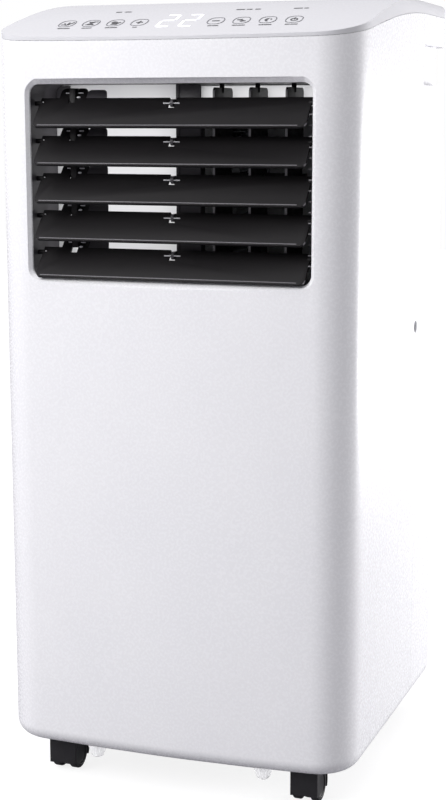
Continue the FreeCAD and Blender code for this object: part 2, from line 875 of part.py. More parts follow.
def upper_scroll():
    x = upper_fan_x
    z = upper_fan_z
    front = duct_rear_y + gap
    back = upper_scroll_rear_y
    exit_left = -divider_thickness / 2 - gap
    outer = rod(upper_scroll_radius + wall, point(x, front, z), point(x, back, z))
    outer = outer.fuse(box(exit_left - wall, half_outlet + wall, front, back, outlet_low - wall,
                           outlet_high + wall))
    inner = rod(upper_scroll_radius, point(x, front + wall, z), point(x, back - wall, z))
    exit_space = box(exit_left, half_outlet, front + wall, back - wall, outlet_low, outlet_high)
    shell = outer.cut(inner.fuse(exit_space))
    mouth = box(exit_left, half_outlet, front - 1, front + wall + 1, outlet_low, outlet_high)
    eye = rod(upper_wheel_radius - scroll_eye_lip, point(x, back - wall - 1, z), point(x, back + 1, z))
    shaft_hole = rod(shaft_hole_radius, point(x, front - 1, z), point(x, front + wall + 1, z))
    legs = []
    for y in (front, back - wall):
        legs.append(box(-scroll_leg_half, scroll_leg_half, y, y + wall, deck_top, outlet_low))
    shell = cut_all(shell.multiFuse(legs), [mouth, eye, shaft_hole, inner])
    return shell.removeSplitter()


def lower_scroll():
    x = lower_fan_x
    z = lower_fan_z
    front = lower_scroll_front_y
    back = lower_scroll_rear_y
    right = x + lower_scroll_radius
    outer = rod(lower_scroll_radius + wall, point(x, front, z), point(x, back, z))
    outer = outer.fuse(box(x - wall, right + wall, front, back, z, lower_exit_top))
    inner = rod(lower_scroll_radius, point(x, front + wall, z), point(x, back - wall, z))
    exit_space = box(x, right, front + wall, back - wall, z, lower_exit_top + 1)
    shell = outer.cut(inner.fuse(exit_space))
    eye = rod(lower_wheel_radius - scroll_eye_lip, point(x, back - wall - 1, z), point(x, back + 1, z))
    shaft_hole = rod(shaft_hole_radius, point(x, front - 1, z), point(x, front + wall + 1, z))
    legs = []
    for y in (front, back - wall):
        legs.append(box(x - lower_leg_half, x + lower_leg_half, y, y + wall, pan_top, z - 40))
    shell = cut_all(shell.multiFuse(legs), [eye, shaft_hole, inner])
    return shell.removeSplitter()


def exhaust_duct():
    x = lower_fan_x
    right = x + lower_scroll_radius
    low = lower_exit_top + gap
    top = deck_height - gap
    front = lower_scroll_front_y
    back = low_rear_y - wall - 8
    middle = lower_scroll_rear_y + 2
    half = exhaust_collar_radius + duct_margin
    port_low = exhaust_z - exhaust_collar_radius - 2
    outer = box(-half, right + wall, front, middle, low,
                top).fuse(box(-half, half, middle, back, port_low, top))
    inner = box(-half + wall, right, front + wall, middle + 1, low + wall, top - wall)
    inner = inner.fuse(box(-half + wall, half - wall, middle + wall, back + 1, port_low + wall, top - wall))
    link = box(-half + wall, half - wall, middle - 1, middle + wall + 1, low + wall, top - wall)
    mouth = box(x, right, front + wall, lower_scroll_rear_y - wall, low - 1, low + wall + 1)
    return outer.cut(inner.fuse(link)).cut(mouth).removeSplitter()


def exhaust_collar():
    inner_end = low_rear_y - wall - exhaust_inside
    ring = tube(exhaust_collar_radius, exhaust_bore_radius, point(exhaust_x, inner_end, exhaust_z),
                point(exhaust_x, rear_y - exhaust_short, exhaust_z))
    seat_y = low_rear_y + gap
    flange = tube(exhaust_flange_radius, exhaust_bore_radius, point(exhaust_x, seat_y, exhaust_z),
                  point(exhaust_x, seat_y + flange_thickness, exhaust_z))
    return join([ring, flange])


# Coils, deck and tray

def coil(y0, y1, z0, z1):
    skin = coil_skin
    block = box(-coil_half_width, coil_half_width, y0 + skin, y1 - skin, z0 + skin, z1 - skin)
    slots = []
    count = int(2 * (coil_half_width - coil_border) / coil_pitch)
    depth = (y1 - y0) * coil_slot_share
    for index in range(count):
        x = -coil_half_width + coil_border + coil_pitch * (index + 0.5)
        for front in (y0, y1 - depth):
            slots.append(box(x - coil_slot / 2, x + coil_slot / 2, front, front + depth,
                             z0 + coil_border, z1 - coil_border))
    block = cut_all(block, slots)
    ends = []
    half = coil_end_thickness / 2
    for side in (-1, 1):
        x = side * (coil_half_width + coil_end_gap)
        ends.append(box(x - half, x + half, y0, y1, z0, z1))
        for row in range(int((z1 - z0) / bend_pitch)):
            z = z0 + bend_low + bend_pitch * row
            ring = Part.makeTorus(bend_radius, pipe_radius,
                                  point(side * coil_half_width, (y0 + y1) / 2, z), axis_z)
            keep = box(coil_half_width, coil_half_width + 2 * bend_radius, y0, y1, z - 5, z + 5)
            if side < 0:
                keep = keep.mirror(point(0, 0, 0), axis_x)
            ends.append(ring.common(keep))
    return join([block] + ends)


def drip_tray():
    back = evaporator_rear_y + tray_space
    front = evaporator_front_y - tray_space
    outer = coil_half_width + tray_margin
    tray = box(-outer, outer, front, back, deck_top + gap, evaporator_low + tray_rise)
    hollow = box(-outer + tray_wall, outer - tray_wall, front + tray_wall, back - tray_wall,
                 evaporator_low - gap, evaporator_low + tray_rise + 1)
    return tray.cut(hollow)


def side_lug(side):
    x0 = half_width - wall - lug_reach
    x1 = half_width - wall - screw_head_height - gap
    lug = box(x0, x1, side_screw_y - 8, side_screw_y + 7, deck_height, side_screw_z + 8)
    return lug if side > 0 else lug.mirror(point(0, 0, 0), axis_x)


def partition_deck():
    clear = wall + gap
    deck = outline(clear, low_rear_y, deck_height, deck_top)
    lugs = [side_lug(side) for side in (-1, 1)]
    rear_inside = low_rear_y - clear
    for side in (-1, 1):
        x = side * rear_screw_x
        lugs.append(box(x - boss_block / 2, x + boss_block / 2, rear_inside - 12, rear_inside,
                        deck_height - 10, deck_top))
    holes = []
    for side in (-1, 1):
        start = point(side * (half_width - wall - 18), side_screw_y, side_screw_z)
        holes.append(rod(screw_radius + shaft_gap, start, start.add(point(side * 20, 0, 0))))
        start = point(side * rear_screw_x, rear_inside - 14, deck_top - rear_screw_drop)
        holes.append(rod(screw_radius + shaft_gap, start, start.add(point(0, 20, 0))))
    for x, y in ((suction_x, suction_y), (liquid_x, liquid_y)):
        holes.append(rod(pipe_radius + 1, point(x, y, deck_height - 1), point(x, y, deck_top + 1)))
    return cut_all(deck.multiFuse(lugs), holes).removeSplitter()


# Refrigeration

def compressor():
    centre = point(compressor_x, compressor_y, compressor_low)
    can = Part.makeCylinder(compressor_radius, compressor_high - compressor_low, centre)
    ends = [e for e in can.Edges if e.BoundBox.ZLength < 0.01]
    can = can.makeFillet(compressor_dome, ends)
    plate_low = compressor_low + 4
    plate = Part.makeCylinder(compressor_radius + mount_plate_margin, mount_plate_thickness,
                              point(compressor_x, compressor_y, plate_low))
    cap = Part.makeCylinder(16, 8, point(compressor_x, compressor_y, compressor_high - 2))
    holes = []
    for x, y in foot_places():
        holes.append(Part.makeCylinder(foot_neck_radius + gap, mount_plate_thickness + 2,
                                       point(x, y, plate_low - 1)))
    return cut_all(join([can, plate, cap]), holes)


def foot_places():
    places = []
    for index in range(3):
        turn = math.radians(90 + 120 * index)
        reach = compressor_radius + 1
        places.append((compressor_x + reach * math.cos(turn), compressor_y + reach * math.sin(turn)))
    return places


def compressor_feet():
    feet = []
    for x, y in foot_places():
        foot = Part.makeCylinder(foot_radius, compressor_low + 4 - gap - pan_top, point(x, y, pan_top))
        neck = Part.makeCylinder(foot_neck_radius, foot_neck_length, point(x, y, compressor_low))
        feet.append(join([foot, neck]))
    return feet


def accumulator():
    centre = point(accumulator_x, accumulator_y, compressor_low + accumulator_lift)
    can = Part.makeCylinder(accumulator_radius, accumulator_height, centre)
    ends = [e for e in can.Edges if e.BoundBox.ZLength < 0.01]
    can = can.makeFillet(accumulator_dome, ends)
    strap_start = centre.add(point(0, 0, strap_low))
    strap = tube(accumulator_radius + 1.5, accumulator_radius - 1, strap_start,
                 strap_start.add(point(0, 0, strap_height)))
    arm_z = strap_start.z + strap_height / 2
    reach = point(accumulator_x - compressor_x, accumulator_y - compressor_y, 0)
    along = point(reach.x, reach.y, 0).normalize()
    start = point(compressor_x, compressor_y, arm_z).add(along * (compressor_radius + gap))
    arm = rod(strap_arm_radius, start, point(accumulator_x, accumulator_y, arm_z))
    return join([can, strap, arm])


def coil_face_x():
    return coil_half_width + coil_end_gap + coil_end_thickness / 2


def discharge_pipe():
    top = compressor_high + 6 + gap
    x = compressor_x
    y = compressor_y
    high = top + 34
    end_y = (condenser_front_y + condenser_rear_y) / 2
    end_x = -coil_face_x() - gap
    route = [(x, y, top), (x, y, high), (discharge_x, y, high), (discharge_x, end_y, high),
             (discharge_x, end_y, condenser_high - 27), (end_x, end_y, condenser_high - 27)]
    return bent_tube(route, pipe_radius, pipe_bend)


def suction_pipe():
    high = compressor_high + 78
    end_z = evaporator_low + 34
    end_x = -coil_face_x() - gap
    top = compressor_low + accumulator_lift + accumulator_height + gap
    route = [(end_x, suction_y, end_z), (suction_x, suction_y, end_z), (suction_x, suction_y, high),
             (suction_x, accumulator_y, high), (accumulator_x, accumulator_y, high),
             (accumulator_x, accumulator_y, top)]
    return bent_tube(route, pipe_radius + 1, pipe_bend - 1)


def liquid_line():
    low_z = condenser_low + 33
    high_z = evaporator_low + 34
    end_x = coil_face_x() + gap
    low_y = liquid_y
    route = [(end_x, low_y, low_z), (liquid_x, low_y, low_z), (liquid_x, low_y, high_z),
             (end_x, low_y, high_z)]
    line = bent_tube(route, pipe_radius - 1, liquid_bend)
    drier = rod(drier_radius, point(liquid_x, low_y, drier_low), point(liquid_x, low_y, drier_high))
    drier = drier.makeFillet(3.0, [e for e in drier.Edges if e.BoundBox.ZLength < 0.01])
    return join([line, drier])


# Electrics

def electrics_box():
    half = electrics_half
    front = front_y + electrics_front_setback
    back = front + electrics_depth
    low = deck_top + electrics_groove_low
    case = box(-half, half, front, back, deck_top + gap, deck_top + electrics_height)
    case = case.makeFillet(3.0, [e for e in case.Edges if e.BoundBox.ZLength > 10])
    groove = box(-half - 1, half + 1, front - 1, back + 1, low, low + 1)
    return case.cut(groove.cut(box(-half + 1, half - 1, front + 1, back - 1, low - 1, low + 2)))


def run_capacitor():
    front = front_y + capacitor_setback
    z = deck_top + capacitor_lift
    can = rod(capacitor_radius, point(capacitor_x, front, z),
              point(capacitor_x, front + capacitor_length, z))
    clip_front = front + clip_setback
    clip = box(capacitor_x - clip_half_width, capacitor_x + clip_half_width, clip_front,
               clip_front + clip_length,
               deck_top + gap, deck_top + clip_height)
    return join([can, clip])


def cable_gland():
    outer = gland_radius
    body_part = tube(outer, gland_bore_radius, gland_point(-wall - 8), gland_point(5))
    collar = tube(outer + 3, gland_bore_radius, gland_point(gap), gland_point(3.5))
    nut = tube(outer + 3, outer - 0.5, gland_point(-wall - 6), gland_point(-wall - gap))
    return join([body_part, collar, nut])


# Rear grilles

def slatted(half, low, high, y0, y1, border):
    panel = box(-half, half, y0, y1, low, high)
    cuts = []
    inside = high - low - 2 * border
    count = int(inside / slat_pitch)
    start = low + border + (inside - count * slat_pitch) / 2
    for index in range(count):
        z = start + slat_pitch * index + slat_height / 2
        for x0, x1 in ((-half + border, -slat_post_half), (slat_post_half, half - border)):
            cuts.append(box(x0, x1, y0 - 1, y1 + 1, z, z + slat_pitch - slat_height))
    return cut_all(panel, cuts)


def filter_grille():
    face = rear_y
    back = face - grille_thickness
    panel = slatted(filter_half_width - side_gap, filter_low + side_gap, filter_high - side_gap,
                    back, face, filter_border)
    inset = filter_frame_inset
    frame = box(-filter_half_width + inset, filter_half_width - inset, back - filter_frame_depth, back,
                filter_low + inset, filter_high - inset)
    inset = filter_frame_inset + filter_frame_wall
    hollow = box(-filter_half_width + inset, filter_half_width - inset, back - filter_frame_depth - 1, back,
                 filter_low + inset, filter_high - inset)
    tab = box(-20, 20, back + 2, face + 0.8, filter_high - 10, filter_high - 4)
    return join([panel.cut(tab), frame.cut(hollow)])


def filter_mesh():
    back = rear_y - grille_thickness - gap
    front = back - mesh_thickness
    border = filter_frame_inset + filter_frame_wall + gap
    panel = box(-filter_half_width + border, filter_half_width - border, front, back,
                filter_low + border, filter_high - border)
    cuts = []
    rib = mesh_rib / 2
    wide = (2 * (filter_half_width - border) - 2 * mesh_rib) / mesh_columns
    tall = (filter_high - filter_low - 2 * border - 2 * mesh_rib) / mesh_rows
    for column in range(mesh_columns):
        for row in range(mesh_rows):
            x = -filter_half_width + border + mesh_rib + wide * column
            z = filter_low + border + mesh_rib + tall * row
            cuts.append(box(x + rib, x + wide - rib, front - 1, back - mesh_skin, z + rib, z + tall - rib))
    return cut_all(panel, cuts)


def lower_grille():
    face = low_rear_y
    seat = face - wall - gap
    panel = slatted(lower_grille_half_width - gap, lower_grille_low + gap, lower_grille_high - gap,
                    seat - bite, face, grille_border)
    flange = box(-lower_grille_half_width - flange_width, lower_grille_half_width + flange_width,
                 seat - flange_thickness, seat, lower_grille_low - flange_width, lower_grille_high + flange_width)
    hollow = box(-lower_grille_half_width + grille_border, lower_grille_half_width - grille_border,
                 seat - flange_thickness - 1, seat + 1,
                 lower_grille_low + grille_border, lower_grille_high - grille_border)
    return join([panel, flange.cut(hollow)])


# Base, castors and small pieces

def castor_places():
    return [("front_left", -castor_x, castor_front_y), ("front_right", castor_x, castor_front_y),
            ("rear_left", -castor_x, castor_rear_y), ("rear_right", castor_x, castor_rear_y)]


def bumper_places():
    return [(side * x, y) for side in (-1, 1) for x,
            y in ((bumper_x, bumper_y), (side_bumper_x, side_bumper_y))]


def base_pan():
    clear = wall + gap
    inside = body(clear)
    plate = outline(clear, low_rear_y, pan_floor, pan_top)
    rim = outline(clear, low_rear_y, pan_floor, pan_floor + pan_rim_height)
    rim = rim.cut(outline(clear + 2.5, low_rear_y, pan_top, pan_floor + pan_rim_height + 1))
    inset = bottom_radius + pan_lip
    floor = outline(inset + gap, low_rear_y, floor_gap, pan_floor + 0.5)
    pieces = [plate, rim]
    rear_inside = low_rear_y - clear
    holes = []
    for side in (-1, 1):
        x = side * rear_screw_x
        pieces.append(box(x - boss_block / 2, x + boss_block / 2, rear_inside - 12, rear_inside - 2,
                          pan_top - 1, pan_top + rear_screw_rise + 8))
        start = point(x, rear_inside - 14, pan_top + rear_screw_rise)
        holes.append(rod(screw_radius + shaft_gap, start, start.add(point(0, 20, 0))))
    for name, x, y in castor_places():
        top = floor_gap + stem_length + 4
        pieces.append(Part.makeCylinder(stem_radius + socket_wall, top - pan_floor, point(x, y, pan_floor)))
        holes.append(Part.makeCylinder(stem_radius + shaft_gap, stem_length + 1.5,
                                       point(x, y, floor_gap - 1)))
    for x, y in bumper_places():
        holes.append(Part.makeCylinder(bumper_screw_radius + gap, 12, point(x, y, floor_gap - 1)))
    start = point(lower_drain_x, rear_inside - 14, lower_drain_z)
    holes.append(rod(drain_flange_radius + gap, start, start.add(point(0, 20, 0))))
    pan = pieces[0].multiFuse(pieces[1:]).common(inside).fuse(floor)
    return cut_all(pan, holes).removeSplitter()


def castor_hood(x, y):
    wheel_y = y + castor_trail
    half = hood_half_width
    top = floor_gap - gap
    round_part = rod(hood_radius, point(x - half, wheel_y, wheel_radius),
                     point(x + half, wheel_y, wheel_radius))
    front = wheel_y - hood_radius
    low = wheel_radius - hood_skirt
    block = box(x - half, x + half, front, wheel_y + web_radius, low, top)
    block = block.makeFillet(hood_edge_radius,
                             [e for e in block.Edges if e.BoundBox.XLength > 5 and e.BoundBox.ZMin > top - 1])
    above = box(x - half, x + half, front - 1, wheel_y + hood_radius + 1, low, top)
    hood = round_part.common(above).fuse(block)
    hood = hood.common(box(x - half, x + half, front, wheel_y + hood_radius, 0, top))
    spaces = []
    for side in (-1, 1):
        start = x + side * (wheel_inner_face - side_gap)
        end = x + side * (half + 1)
        spaces.append(rod(hood_radius - hood_shell, point(start, wheel_y, wheel_radius),
                          point(end, wheel_y, wheel_radius)))
    web_half = wheel_inner_face - side_gap
    web = rod(web_radius, point(x - web_half, wheel_y, wheel_radius),
              point(x + web_half, wheel_y, wheel_radius))
    stem = Part.makeCylinder(stem_radius, stem_length + gap, point(x, y, top))
    seat = Part.makeCylinder(stem_radius + 3, stem_seat, point(x, y, top - stem_seat))
    hood = cut_all(hood, spaces)
    bore = rod(axle_radius + shaft_gap, point(x - 20, wheel_y, wheel_radius),
               point(x + 20, wheel_y, wheel_radius))
    seat = seat.cut(Part.makeCompound(spaces))
    return join([hood, web, stem, seat]).cut(bore)


def castor_wheels(x, y):
    wheel_y = y + castor_trail
    outer_face = wheel_inner_face + wheel_width
    axle = rod(axle_radius, point(x - outer_face + 1, wheel_y, wheel_radius),
               point(x + outer_face - 1, wheel_y, wheel_radius))
    pieces = [axle]
    for side in (-1, 1):
        start = point(x + side * wheel_inner_face, wheel_y, wheel_radius)
        end = point(x + side * outer_face, wheel_y, wheel_radius)
        wheel = rod(wheel_radius, start, end)
        rims = [e for e in wheel.Edges if e.BoundBox.XLength < 0.01]
        wheel = wheel.makeFillet(wheel_edge_radius, rims)
        dish = rod(wheel_radius - wheel_rim, end.sub(point(side * wheel_dish, 0, 0)),
                   end.add(point(side, 0, 0)))
        pieces.append(wheel.cut(dish))
    return join(pieces)


def bumper(x, y):
    top = floor_gap - gap
    cup = Part.makeCone(bumper_radius - bumper_taper, bumper_radius, bumper_height,
                        point(x, y, top - bumper_height))
    cup = cup.makeFillet(2.0, [e for e in cup.Edges if e.BoundBox.ZMax < top - bumper_height + 0.1])
    well = Part.makeCylinder(bumper_well_radius, bumper_height + 1 - bumper_base,
                             point(x, y, top - bumper_height - 1))
    hole = Part.makeCylinder(bumper_screw_radius + gap, bumper_height + 2,
                             point(x, y, top - bumper_height - 1))
    return cut_all(cup, [well, hole])


def bumper_screw(x, y):
    seat = floor_gap - gap - bumper_base - gap
    head = Part.makeCylinder(bumper_head_radius, bumper_head_height, point(x, y, seat - bumper_head_height))
    shank = Part.makeCylinder(bumper_screw_radius, 12, point(x, y, seat - 1))
    return join([head, shank])


def screw(seat, inward, length):
    # The head's underside stands on the seat, and the shank goes inward.
    head = rod(screw_head_radius, seat.sub(inward * screw_head_height), seat)
    shank = rod(screw_radius, seat.sub(inward * 0.5), seat.add(inward * length))
    slot = rod(screw_slot_radius, seat.sub(inward * (screw_head_height + 1)),
               seat.sub(inward * (screw_head_height - screw_slot_depth)))
    return join([head, shank]).cut(slot)


def side_screws():
    screws = []
    for side in (-1, 1):
        seat = point(side * (half_width - wall - screw_head_height - gap / 2), side_screw_y, side_screw_z)
        screws.append(screw(seat, point(-side, 0, 0), 11))
    return screws


def rear_screws():
    screws = []
    for x, z in rear_screw_places():
        seat = point(x, low_rear_y + gap / 2, z)
        screws.append(screw(seat, point(0, -1, 0), 12))
    return screws


def drain_spout(x, z):
    inner_end = low_rear_y - wall - 4
    pipe = tube(drain_tube_radius, drain_bore_radius, point(x, inner_end, z), point(x, low_rear_y, z))
    barb = tube(drain_barb_radius, drain_bore_radius, point(x, low_rear_y, z),
                point(x, low_rear_y + drain_reach, z))
    flange = tube(drain_flange_radius, drain_bore_radius, point(x, low_rear_y - wall - gap - 2, z),
                  point(x, low_rear_y - wall - gap, z))
    return join([pipe, barb, flange])


def drain_plug(x, z):
    end = low_rear_y + drain_reach
    head = rod(drain_barb_radius - 0.3, point(x, end + gap / 2, z), point(x, rear_y, z))
    stem = rod(drain_bore_radius - shaft_gap, point(x, end - 10, z), point(x, end + 1, z))
    return join([head, stem])


def build():
    os.makedirs("parts", exist_ok=True)
    outer = body(0)
    shell = outer.cut(body(wall))
    inset = bottom_radius + pan_lip
    shell = shell.cut(outline(inset, low_rear_y, floor_gap - 5, floor_gap + wall + 3))
    lower_shell = shell.cut(above_seam(-gap / 2))
    save("front_cover", front_cover(lower_shell, outer))
    save("rear_cover", rear_cover(lower_shell))
    save("top_cover", top_cover(shell))
    save("control_board", control_board())
    save("display_module", display_module())
    save("louver_frame", louver_frame())
    for index in range(louver_count):
        save("louver_" + str(index + 1), louver(index))
    save("louver_tie_bar", louver_tie_bar())
    save("swing_motor", swing_motor())
    for index in range(vane_count):
        save("vane_" + str(index + 1), vane(index))
    save("vane_link", vane_link())
    save("outlet_duct", outlet_duct())
    save("upper_scroll", upper_scroll())
    save("upper_blower_wheel", blower_wheel(upper_fan_x, upper_fan_z, upper_wheel_radius,
                                            duct_rear_y + upper_wheel_front, upper_scroll_rear_y, duct_rear_y))
    motor_front = duct_rear_y - motor_length
    save("upper_fan_motor", fan_motor(upper_fan_x, upper_fan_z, motor_front, motor_length))
    save("evaporator", coil(evaporator_front_y, evaporator_rear_y, evaporator_low, evaporator_high))
    save("drip_tray", drip_tray())
    save("partition_deck", partition_deck())
    save("electrics_box", electrics_box())
    save("run_capacitor", run_capacitor())
    save("filter_grille", filter_grille())
    save("filter_mesh", filter_mesh())
    save("lower_grille", lower_grille())
    save("exhaust_collar", exhaust_collar())
    save("exhaust_duct", exhaust_duct())
    save("lower_scroll", lower_scroll())
    save("lower_blower_wheel", blower_wheel(lower_fan_x, lower_fan_z, lower_wheel_radius,
                                            lower_scroll_front_y + lower_wheel_front, lower_scroll_rear_y,
                                            lower_scroll_front_y))
    motor_front = lower_scroll_front_y - gap - motor_length
    save("lower_fan_motor", fan_motor(lower_fan_x, lower_fan_z, motor_front, motor_length))
    save("condenser", coil(condenser_front_y, condenser_rear_y, condenser_low, condenser_high))
    save("compressor", compressor())
    save("compressor_feet", *compressor_feet())
    save("accumulator", accumulator())
    save("discharge_pipe", discharge_pipe())
    save("suction_pipe", suction_pipe())
    save("liquid_line", liquid_line())
    save("base_pan", base_pan())
    save("upper_drain_spout", drain_spout(upper_drain_x, upper_drain_z))
    save("upper_drain_plug", drain_plug(upper_drain_x, upper_drain_z))
    save("lower_drain_spout", drain_spout(lower_drain_x, lower_drain_z))
    save("lower_drain_plug", drain_plug(lower_drain_x, lower_drain_z))
    save("cable_gland", cable_gland())
    for name, x, y in castor_places():
        save("castor_hood_" + name, castor_hood(x, y))
        save("castor_wheels_" + name, castor_wheels(x, y))
    save("bumper_cups", *[bumper(x, y) for x, y in bumper_places()])
    save("bumper_screws", *[bumper_screw(x, y) for x, y in bumper_places()])
    save("side_screws", *side_screws())
    save("rear_screws", *rear_screws())


build()
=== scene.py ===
import math
import bpy
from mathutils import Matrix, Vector


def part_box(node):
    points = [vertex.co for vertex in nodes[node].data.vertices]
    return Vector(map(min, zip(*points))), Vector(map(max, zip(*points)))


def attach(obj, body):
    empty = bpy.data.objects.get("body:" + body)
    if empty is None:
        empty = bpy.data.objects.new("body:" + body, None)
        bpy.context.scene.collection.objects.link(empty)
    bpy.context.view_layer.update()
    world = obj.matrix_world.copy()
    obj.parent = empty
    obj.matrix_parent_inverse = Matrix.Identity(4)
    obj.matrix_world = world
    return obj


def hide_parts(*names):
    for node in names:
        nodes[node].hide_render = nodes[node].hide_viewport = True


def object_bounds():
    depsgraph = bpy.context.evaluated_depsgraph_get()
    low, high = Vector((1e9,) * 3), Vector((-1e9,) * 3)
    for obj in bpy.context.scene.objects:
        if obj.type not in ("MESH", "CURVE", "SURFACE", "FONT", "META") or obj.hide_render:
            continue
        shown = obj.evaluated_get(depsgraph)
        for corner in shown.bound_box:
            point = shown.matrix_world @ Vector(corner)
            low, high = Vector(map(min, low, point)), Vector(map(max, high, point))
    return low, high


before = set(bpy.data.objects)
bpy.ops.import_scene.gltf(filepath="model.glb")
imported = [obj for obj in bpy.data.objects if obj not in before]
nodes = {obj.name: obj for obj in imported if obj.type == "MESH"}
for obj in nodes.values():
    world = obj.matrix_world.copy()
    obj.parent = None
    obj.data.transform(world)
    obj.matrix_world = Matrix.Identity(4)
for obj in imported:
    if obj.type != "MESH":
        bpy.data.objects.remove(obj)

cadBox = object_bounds()
mm = 0.001

# Studio: metres, radians for the camera and degrees for the lights
camera = {
    "place": (0.5034, -1.4338, 0.581), "tiltDown": 0.1928, "turn": 0.3417,
    "lens": 75.15, "shift": (-0.0021, 0.0559),
}
softboxes = {
    "keyLeft": {"azimuth": -32, "distance": 1.9, "height": 1.45, "size": (1.2, 1.2), "power": 31.5},
    "fillRight": {"azimuth": 130, "distance": 1.7, "height": 0.3, "size": (1.3, 0.55), "power": 32},
}
skylight = {"strength": 1.25, "spread": 80, "tilt": 0}  # broad light straight overhead
room = {
    "bright": 0.7, "dark": 0.12, "darkAzimuth": 62, "edge": (-0.15, 0.8),
    "walls": (0.965, 0.95, 1, 1), "backdrop": (1, 1, 1, 1),
}
floorSheets = {
    "studio_floor": {"height": 0, "finish": "paleFloor", "looked": True},
    "studio_carpet": {"height": -0.002, "finish": "dullCarpet", "looked": False},
}
floorSize = 12
aim = Vector((0, 0, 0.34))  # the softboxes point at the object's middle


def addNode(tree, kind, place, inputs=None, **settings):
    node = tree.nodes.new(kind)
    node.location = place
    for name, value in settings.items():
        setattr(node, name, value)
    for name, value in (inputs or {}).items():
        if isinstance(value, bpy.types.NodeSocket):
            tree.links.new(value, node.inputs[name])
        else:
            node.inputs[name].default_value = value
    return node


def setCamera():
    lens = bpy.data.cameras.new("camera")
    lens.lens = camera["lens"]
    lens.shift_x, lens.shift_y = camera["shift"]
    lens.clip_start = 0.01
    holder = bpy.data.objects.new("camera", lens)
    holder.location = camera["place"]
    holder.rotation_euler = (math.pi / 2 - camera["tiltDown"], 0, camera["turn"])
    bpy.context.scene.collection.objects.link(holder)
    bpy.context.scene.camera = holder


def setLights():
    for name, box in softboxes.items():
        light = bpy.data.lights.new(name, "AREA")
        light.shape = "RECTANGLE"
        light.size, light.size_y = box["size"]
        light.energy = box["power"]
        holder = bpy.data.objects.new(name, light)
        turn = math.radians(box["azimuth"])
        holder.location = (
            math.sin(turn) * box["distance"],
            -math.cos(turn) * box["distance"],
            box["height"],
        )
        holder.rotation_euler = (aim - holder.location).to_track_quat("-Z", "Y").to_euler()
        bpy.context.scene.collection.objects.link(holder)
    sky = bpy.data.lights.new("skylight", "SUN")
    sky.energy = skylight["strength"]
    sky.angle = math.radians(skylight["spread"])
    holder = bpy.data.objects.new("skylight", sky)
    holder.rotation_euler = (math.radians(skylight["tilt"]), 0, 0)
    bpy.context.scene.collection.objects.link(holder)
    world = bpy.data.worlds.new("studio")
    bpy.context.scene.world = world
    world.use_nodes = True
    tree = world.node_tree
    tree.nodes.clear()
    # the room is bright all round but for one dark side, and its backdrop reads white
    turn = math.radians(room["darkAzimuth"])
    heading = addNode(tree, "ShaderNodeTexCoord", (-1000, 0)).outputs["Generated"]
    facing = addNode(tree, "ShaderNodeVectorMath", (-800, 0), {
        0: heading, 1: (math.sin(turn), -math.cos(turn), 0),
    }, operation="DOT_PRODUCT")
    strength = addNode(tree, "ShaderNodeMapRange", (-600, 0), {
        "Value": facing.outputs["Value"], "From Min": room["edge"][0], "From Max": room["edge"][1],
        "To Min": room["bright"], "To Max": room["dark"],
    }, interpolation_type="SMOOTHSTEP")
    seen = addNode(tree, "ShaderNodeLightPath", (-400, 200))
    walls = addNode(tree, "ShaderNodeBackground", (-200, 0), {
        "Color": room["walls"], "Strength": strength.outputs["Result"],
    })
    backdrop = addNode(tree, "ShaderNodeBackground", (-200, -150), {
        "Color": room["backdrop"], "Strength": 1.0,
    })
    mix = addNode(tree, "ShaderNodeMixShader", (0, 0), {
        0: seen.outputs["Is Camera Ray"],
        1: walls.outputs[0],
        2: backdrop.outputs[0],
    })
    addNode(tree, "ShaderNodeOutputWorld", (200, 0), {"Surface": mix.outputs[0]})
    bpy.context.scene.view_settings.view_transform = "Standard"


def layFloor():
    # the pale floor is only looked at, and a duller carpet under it throws the light back
    for name, sheet in floorSheets.items():
        bpy.ops.mesh.primitive_plane_add(size=floorSize, location=(0, 0, sheet["height"]))
        floor = bpy.context.object
        floor.name = name
        floor.data.materials.append(materials[sheet["finish"]])
        looked = sheet["looked"]
        floor.visible_camera = looked
        floor.visible_diffuse = floor.visible_glossy = floor.visible_transmission = not looked
        floor.visible_shadow = not looked


def linear(hexColour):
    # sRGB hex to the linear values that the shader takes
    values = [int(hexColour[i:i + 2], 16) / 255 for i in (0, 2, 4)]
    lit = [v / 12.92 if v <= 0.04045 else ((v + 0.055) / 1.055) ** 2.4 for v in values]
    return (*lit, 1.0)


def newMaterial(name):
    material = bpy.data.materials.new(name)
    material.use_nodes = True
    tree = material.node_tree
    tree.nodes.clear()
    output = addNode(tree, "ShaderNodeOutputMaterial", (600, 0))
    shader = addNode(tree, "ShaderNodeBsdfPrincipled", (300, 0))
    tree.links.new(shader.outputs[0], output.inputs[0])
    where = addNode(tree, "ShaderNodeTexCoord", (-900, 0)).outputs["Object"]
    return material, tree, shader, where


def grainScale(sizeMm):
    return 1 / (sizeMm * mm)  # noise cells per metre


def bandScale(spacingMm):
    return math.pi / 10 / (spacingMm * mm)  # at a scale of 1 the bands are pi / 10 m apart


def surfaceNoise(tree, where, sizeMm, place, detail=2.0):
    return addNode(tree, "ShaderNodeTexNoise", place, {
        "Vector": where,
        "Scale": grainScale(sizeMm),
        "Detail": detail,
    }).outputs["Fac"]


materials = {}

